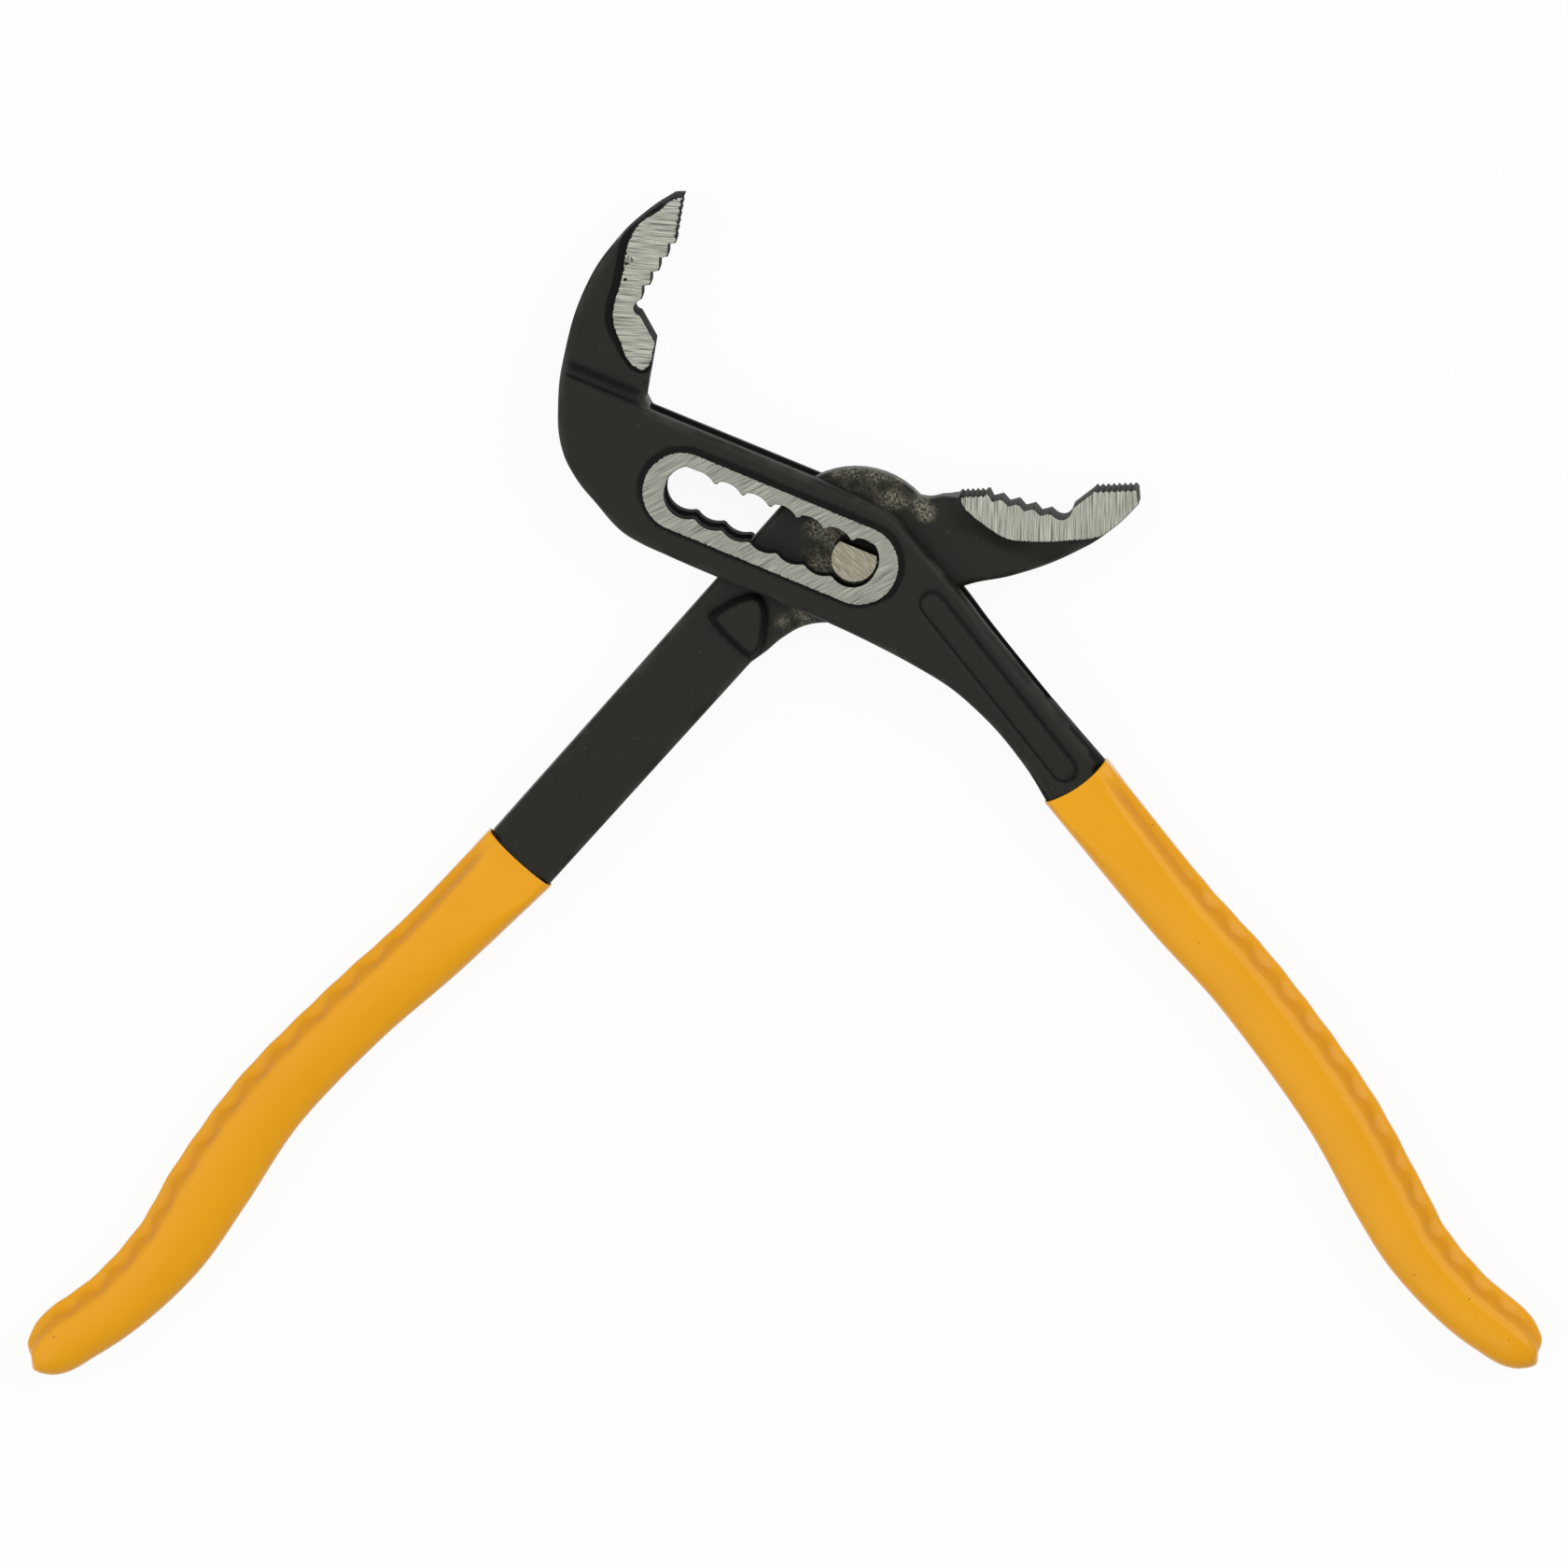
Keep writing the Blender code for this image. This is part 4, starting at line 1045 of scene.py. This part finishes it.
top = 2 * SLOT_PAD_HALF
pin_rows = np.array(
    [
        (0.0, PIN_RADIUS - PIN_EDGE, 1.0),
        (PIN_EDGE, PIN_RADIUS, 1.0),
        (MID_PLANE - HUB_HALF, PIN_RADIUS, 1.0),
        (MID_PLANE - HUB_HALF, PIN_RADIUS, 0.0),
        (MID_PLANE + HUB_HALF, PIN_RADIUS, 0.0),
        (MID_PLANE + HUB_HALF, PIN_RADIUS, 1.0),
        (top - PIN_EDGE, PIN_RADIUS, 1.0),
        (top, PIN_RADIUS - PIN_EDGE, 1.0),
    ]
)


def lathe(name, corners):
    """Joins rows of points, each a closed ring, by quads, and closes the first and last ring with a face."""
    rows, count = corners.shape[:2]
    number = np.arange(rows * count).reshape(rows, count)
    after = np.roll(number, -1, axis=1)
    quads = np.stack([number[:-1], after[:-1], after[1:], number[1:]], axis=-1).reshape(-1, 4)
    ends = [number[0, ::-1].tolist(), number[-1].tolist()]
    return shape(name, corners.reshape(-1, 3), [*quads.tolist(), *ends])


def turned_pin():
    """A circle of each row's radius at its height, cut off along the slot where the row is milled flat."""
    around = np.linspace(0.0, 2 * pi, PIN_SIDES, endpoint=False)[None]
    heights, radii, milled = pin_rows.T[..., None]
    flat = np.where(milled > 0, PIN_FLAT_HEIGHT - PIN_RADIUS + radii, PIN_RADIUS)
    upper = np.sin(around) > 0
    reach = np.where(upper, np.minimum(radii, flat / np.where(upper, np.sin(around), 1.0)), radii)
    along, up = -reach * np.cos(around), reach * np.sin(around)
    turned = along_slot(np.column_stack([along.ravel(), up.ravel()])).reshape(*reach.shape, 2)
    return lathe("pin_turned", np.dstack([turned, np.broadcast_to(heights, reach.shape)]))


pin_piece = turned_pin()
soften(pin_piece, PIN_SHARP_TURN)
pin_plan, _ = plan_of(pin_piece)
store(pin_piece, "POINT", grinding=np.column_stack([grind(pin_plan, *PIN_GRIND), np.zeros(len(pin_plan))]))
store(pin_piece, "FACE", level=level_of(pin_piece))

PIN_DARK = "#605B4D"
PIN_BRIGHT = "#928D7D"
# Painted shade for the pin's sides and shoulders.
PIN_SIDE_SHADE = "#1E1C18"


def ground_pin_steel():
    """Bright steel with a warm cast: ends crossed by scratches from grinding, and sides painted dark as
    shade.
    """
    made, tree, shader = new_finish("ground_pin_steel")
    grinding = add(tree, "Attribute", attribute_name="grinding")["Vector"]
    line = add(tree, "TexNoise", {"Vector": grinding, "Scale": 1.0, "Detail": 4.0, "Roughness": 0.65})["Fac"]
    streak = add(tree, "MapRange", {"Value": line, "From Min": 0.38, "From Max": 0.62})["Result"]
    ends = {"Factor": streak, COLOUR_A: linear(PIN_DARK), COLOUR_B: linear(PIN_BRIGHT)}
    ends = add(tree, "Mix", ends, data_type="RGBA")[COLOUR_OUT]
    # The pin's sides and shoulders take a painted shade; only the level ends show bright steel.
    level = add(tree, "Attribute", attribute_name="level")["Fac"]
    colour = {"Factor": level, COLOUR_A: linear(PIN_SIDE_SHADE), COLOUR_B: ends}
    colour = add(tree, "Mix", colour, data_type="RGBA")[COLOUR_OUT]
    tree.links.new(colour, shader.inputs["Base Color"])
    rough = add(tree, "MapRange", {"Value": line, "To Min": 0.32, "To Max": 0.5})["Result"]
    tree.links.new(rough, shader.inputs["Roughness"])
    bump = add(tree, "Bump", {"Height": line, "Strength": 0.12, "Distance": STEEL_BUMP * MM})["Normal"]
    tree.links.new(bump, shader.inputs["Normal"])
    shader.inputs["Metallic"].default_value = 1.0
    return made


pin_piece.data.materials.append(ground_pin_steel())
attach(pin_piece, "pivot_pin")
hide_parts("pivot_pin")

# Grips
# Soft yellow PVC sleeves, made by dipping both hot handles into liquid plastisol: glossy, and thick at the
# blunt end, where the last of it ran down. A ridge and shallow finger scallops run along the outer flank.
GRIP_HALF = 4.45
GRIP_SPACING = 0.5
GRIP_SHARP_TURN = radians(50)
FACE_POWER = 2.4
FACE_FLAT_POINTS = 8
FACE_FALL_POINTS = 22
FACE_TURN_LENGTH = 36.0
FACE_FALL_SHARES = (0.16, 0.9)
FLANK_AT_MOUTH = 2.4
FLANK_AT_FINGERS = 3.3
FLANK_GROWS = 45.0
FLANK_FORMS = (2.0, 6.0)
FLANK_MOUTH_POWER = 0.3
FINGERS_START = (22.0, 8.0)
FINGERS_END = (4.0, 6.0)
FINGER_PITCH = 7.0
FINGER_DEPTH = 0.38
FINGER_FOOT = (0.42, 0.26)
FLANK_WAVE = 0.05
# Where the painted shade beside the grip's ridge lies, and how wide it is.
SHADE_BESIDE_RIDGE = (0.34, 0.36)
MOUTH_REACH = 7.0
MOUTH_CLEARANCE = 0.3
LIP = ((2.5, 0.4), (0.25, 0.4), (0.06, 0.33), (0.0, 0.22), (0.05, 0.1), (0.2, 0.02), (0.45, 0.0))
GRIP_END_STEPS = 3
GRIP_END = (
    (1.0, -9.0, 1.0, -9.0, 1.0),
    (0.94, -6.6, 1.02, -6.2, 1.0),
    (0.87, -4.8, 1.0, -4.2, 0.99),
    (0.76, -3.2, 0.94, -2.7, 0.96),
    (0.585, -1.7, 0.85, -1.4, 0.9),
    (0.41, -0.5, 0.745, -0.5, 0.82),
    (0.22, 0.0, 0.64, 0.2, 0.72),
    (0.07, 0.2, 0.53, 0.75, 0.6),
    (-0.05, 0.35, 0.43, 1.1, 0.45),
    (-0.12, 0.6, 0.35, 1.2, 0.28),
)
FLANK_SCALE = 16.0
FLANK_PROFILE = (
    (1.0, 0.0),
    (1.0, 0.1, "smooth"),
    (0.975, 0.195, "smooth"),
    (0.92, 0.27, "smooth"),
    (0.82, 0.335, "smooth"),
    (0.61, 0.445, "smooth"),
    (0.43, 0.54, "smooth"),
    (0.27, 0.68, "smooth"),
    (0.12, 0.84, "smooth"),
    (0.04, 0.905, "smooth"),
    (-0.3, 0.985, "smooth"),
    (-0.42, 1.0),
)


def grip_skin(name, path, side, mouth):
    """A section carried along the handle: across runs from the outer edge over the ridge to the inner edge.

    The flank is a drawn profile from the edge to the ridge, raised to a power that fills it out at the
    mouth, and the finger scallops move its foot in and out as a cosine along the handle. The face is level,
    and then falls to the inner edge as part of a superellipse, whose share of the face grows from the mouth.
    A table of the outer side, the inner side and the height draws in the last sections to the blunt end,
    and the mouth is a parabola across the handle through its outer, middle and inner places. Each point
    keeps how much painted shade it takes, most on the flank beside the ridge, for the material to read.
    """
    places, directions, widths, distances = handle_line(path, GRIP_SPACING)
    length = distances[-1]
    lip_along, lip_inset = np.array(LIP).T
    lip = lip_along + MOUTH_CLEARANCE
    straight = np.concatenate([lip, distances[(distances > lip[-1]) & (distances < length + GRIP_END[0][1])]])
    full = np.ones_like(straight)
    end = through(GRIP_END, GRIP_END_STEPS) + (0.0, length, 0.0, length, 0.0)
    sections = np.vstack([np.column_stack([full, straight, full, straight, full]), end])
    outer, outer_along, inner, inner_along, height = sections.T[..., None]
    inset = np.zeros_like(outer)
    inset[: len(lip), 0] = lip_inset
    rows = (outer_along + inner_along) / 2
    half = np.interp(rows, distances, widths) / 2
    share = (outer + inner) / 2
    wide = half * share - inset
    high = GRIP_HALF * height - inset

    fingers = ease((rows - FINGERS_START[0]) / FINGERS_START[1])
    fading = ease((length - rows - FINGERS_END[0]) / FINGERS_END[1])
    wave = fingers * fading * np.cos(2 * pi * rows / FINGER_PITCH)
    flank = share * (FLANK_AT_MOUTH + (FLANK_AT_FINGERS - FLANK_AT_MOUTH) * ease(rows / FLANK_GROWS))
    profile = [(x * FLANK_SCALE, y * FLANK_SCALE, *rest) for x, y, *rest in FLANK_PROFILE]
    out, up = drawn(profile, closed=False).T / FLANK_SCALE
    formed = ease((rows - FLANK_FORMS[0]) / FLANK_FORMS[1])
    flank_up = np.maximum(up, 0.0) ** (FLANK_MOUTH_POWER + (1 - FLANK_MOUTH_POWER) * formed)
    sway = FLANK_WAVE + FINGER_DEPTH * bell(out - FINGER_FOOT[0], FINGER_FOOT[1])
    flank_across = wide + flank * (out - 1) + wave * sway

    level = 1 - np.clip(rows / FACE_TURN_LENGTH, *FACE_FALL_SHARES)
    even = np.linspace(0.0, 1.0, FACE_FLAT_POINTS + 1)[1:]
    turn = 1 - (1 - np.linspace(0.0, 1.0, FACE_FALL_POINTS + 1)[1:]) ** 2
    inward = np.hstack([level * even, level + (1 - level) * turn])
    fall = np.concatenate([np.ones(FACE_FLAT_POINTS), (1 - turn**FACE_POWER) ** (1 / FACE_POWER)])
    start = flank_across[:, -1:]
    upper_across = np.hstack([flank_across, start - (start + wide) * inward])
    upper_up = high * np.hstack([flank_up, np.broadcast_to(fall, inward.shape)])
    across = np.hstack([upper_across, upper_across[:, -2:0:-1]])
    lift = np.hstack([upper_up, -upper_up[:, -2:0:-1]])

    over = across / wide
    by_outer, by_middle, by_inner = mouth
    bend = by_middle + (by_outer - by_inner) / 2 * over + ((by_outer + by_inner) / 2 - by_middle) * over**2
    along = rows + bend * ease(1 - rows / MOUTH_REACH) + (outer_along - inner_along) / 2 * over
    within = np.clip(along, 0.0, length)
    ahead = np.dstack([np.interp(within, distances, column) for column in directions.T])
    sideways = np.dstack([-ahead[..., 1], ahead[..., 0]]) * side
    centre = np.dstack([np.interp(within, distances, column) for column in places.T])
    centre = centre + ahead * (along - within)[..., None]
    centre = centre + sideways * (across + half * (outer - inner) / 2)[..., None]
    corners = np.dstack([centre, MID_PLANE + lift])
    piece = lathe(name, corners if side < 0 else corners[:, ::-1])
    # Painted shade on the flank beside the ridge.
    beside = bell(out - SHADE_BESIDE_RIDGE[0], SHADE_BESIDE_RIDGE[1])
    upper = np.concatenate([beside, np.zeros(inward.shape[1])])
    thick = share * formed * np.concatenate([upper, upper[-2:0:-1]])
    store(piece, "POINT", thick=(thick if side < 0 else thick[:, ::-1]).ravel())
    return piece


PVC_YELLOW = "#F0A908"
PVC_DEEP = "#E99F05"
# Painted shade beside the ridge.
PVC_PAINTED_SHADE = "#DB9100"
PVC_SPECK_BROWN = "#8A5A10"
PVC_CLOUD = 14.0
PVC_RIPPLE = 2.5
PVC_BUMP = 0.3
PVC_SPECK = 7.0
PVC_SPECK_SIZE = 0.22


def dipped_pvc():
    """Dipped plastisol: glossy, faintly clouded yellow, with a painted shade beside the ridge and specks of
    dirt.
    """
    made, tree, shader = new_finish("dipped_yellow_pvc")
    place = add(tree, "TexCoord")["Object"]
    cloud = add(tree, "TexNoise", {"Vector": place, "Scale": 1 / (PVC_CLOUD * MM), "Detail": 3.0})["Fac"]
    dirt = add(tree, "TexVoronoi", {"Vector": place, "Scale": 1 / (PVC_SPECK * MM)})
    size = PVC_SPECK_SIZE / PVC_SPECK
    speck = {"Value": dirt["Distance"], "From Min": size / 2, "From Max": size, "To Min": 1.0, "To Max": 0.0}
    speck = add(tree, "MapRange", speck)["Result"]
    # The flank beside the ridge takes a painted shade.
    thick = add(tree, "Attribute", attribute_name="thick")["Fac"]
    colour = linear(PVC_DEEP)
    for amount, shade in ((cloud, PVC_YELLOW), (thick, PVC_PAINTED_SHADE), (speck, PVC_SPECK_BROWN)):
        layer = {"Factor": amount, COLOUR_A: colour, COLOUR_B: linear(shade)}
        colour = add(tree, "Mix", layer, data_type="RGBA")[COLOUR_OUT]
    tree.links.new(colour, shader.inputs["Base Color"])
    rough = add(tree, "MapRange", {"Value": cloud, "To Min": 0.2, "To Max": 0.3})["Result"]
    tree.links.new(rough, shader.inputs["Roughness"])
    ripple = add(tree, "TexNoise", {"Vector": place, "Scale": 1 / (PVC_RIPPLE * MM), "Detail": 2.0})["Fac"]
    bump = add(tree, "Bump", {"Height": ripple, "Strength": 0.06, "Distance": PVC_BUMP * MM})["Normal"]
    tree.links.new(bump, shader.inputs["Normal"])
    shader.inputs["IOR"].default_value = 1.53
    shader.inputs["Specular IOR Level"].default_value = 0.21
    return made


GRIPS = (
    ("slotted_arm", SLOTTED_HANDLE_PATH, 1, (0.1, 0.65, -0.9)),
    ("through_arm", THROUGH_HANDLE_PATH, -1, (0.7, 0.8, 0.0)),
)
pvc_finish = dipped_pvc()
for arm, path, side, mouth in GRIPS:
    skin = grip_skin(arm + "_grip_skin", path, side, mouth)
    soften(skin, GRIP_SHARP_TURN)
    skin.data.materials.append(pvc_finish)
    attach(skin, arm)
    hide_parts(arm + "_grip")

# Studio
# A pale paper floor under the tool, a soft lamp on each side and a camera almost square above it. The paper
# and the sky show white to the camera and in gloss, and the paper still takes the tool's shadow.
WHITE = (1.0, 1.0, 1.0, 1.0)
FLOOR_SIZE = 6000.0
FLOOR_BELOW = 0.05
FLOOR_PALE = "#F4F4F2"
FLOOR_GLOW = 0.93
SKY_LEVEL = 0.28
VIEW_CENTRE = Vector((-0.01247, -0.03999, 0.016))
VIEW_FROM = Vector((0.0413, 0.1096, 1.0)).normalized()
VIEW_WIDTH = 0.2772
VIEW_DISTANCE = 1.5

floor_corners = np.array([(-1, -1, 0), (1, -1, 0), (1, 1, 0), (-1, 1, 0)]) * FLOOR_SIZE / 2
floor_corners[:, 2] = -FLOOR_BELOW
floor = shape("floor", floor_corners, [(0, 1, 2, 3)])


def background_rays(tree):
    """1 for the rays that show what lies behind the tool: from the camera, off gloss and through glass."""
    light = add(tree, "LightPath")
    seen = {0: light["Is Camera Ray"], 1: light["Is Glossy Ray"]}
    seen = add(tree, "Math", seen, operation="MAXIMUM")["Value"]
    return add(tree, "Math", {0: seen, 1: light["Is Transmission Ray"]}, operation="MAXIMUM")["Value"]


paper = bpy.data.materials.new("pale_paper")
paper.use_nodes = True
tree = paper.node_tree
tree.nodes.clear()
seen = background_rays(tree)
matt = add(tree, "BsdfDiffuse", {"Color": linear(FLOOR_PALE)})["BSDF"]
glow = add(tree, "Emission", {"Color": WHITE, "Strength": 1.0})["Emission"]
share = add(tree, "Math", {0: seen, 1: FLOOR_GLOW}, operation="MULTIPLY")["Value"]
surface = add(tree, "MixShader", {0: share, 1: matt, 2: glow})["Shader"]
add(tree, "OutputMaterial", {"Surface": surface})
floor.data.materials.append(paper)

world = bpy.data.worlds.new("studio")
bpy.context.scene.world = world
world.use_nodes = True
sky = world.node_tree.nodes["Background"]
sky.inputs["Color"].default_value = WHITE
seen = background_rays(world.node_tree)
glow = add(world.node_tree, "MapRange", {"Value": seen, "To Min": SKY_LEVEL, "To Max": 1.0})["Result"]
world.node_tree.links.new(glow, sky.inputs["Strength"])

LAMPS = (
    ("left_of_tool", (-0.9, -0.1, 0.95), 2.2, 14.0),
    ("right_of_tool", (0.75, 0.45, 1.0), 1.3, 11.0),
)
for name, place, size, power in LAMPS:
    lamp = bpy.data.lights.new(name, "AREA")
    lamp.shape = "SQUARE"
    lamp.size = size
    lamp.energy = power
    holder = bpy.data.objects.new(name, lamp)
    towards_pin = Vector(place).to_track_quat("Z", "Y").to_matrix().to_4x4()
    holder.matrix_world = Matrix.Translation(place) @ towards_pin
    bpy.context.scene.collection.objects.link(holder)

lens = bpy.data.cameras.new("camera")
lens.type = "ORTHO"
lens.ortho_scale = VIEW_WIDTH
camera = bpy.data.objects.new("camera", lens)
# The camera's right is the mean of east, laid square to the view, and of what is right with north up.
east = Vector((1.0, 0.0, 0.0))
east = (east - VIEW_FROM * east.dot(VIEW_FROM)).normalized()
north = Vector((0.0, 1.0, 0.0))
north = (north - VIEW_FROM * north.dot(VIEW_FROM)).normalized()
right = (east + north.cross(VIEW_FROM)).normalized()
turn = Matrix((right, VIEW_FROM.cross(right), VIEW_FROM)).transposed()
camera.matrix_world = Matrix.Translation(VIEW_CENTRE + VIEW_FROM * VIEW_DISTANCE) @ turn.to_4x4()
bpy.context.scene.collection.objects.link(camera)
bpy.context.scene.camera = camera
bpy.context.scene.view_settings.view_transform = "Standard"
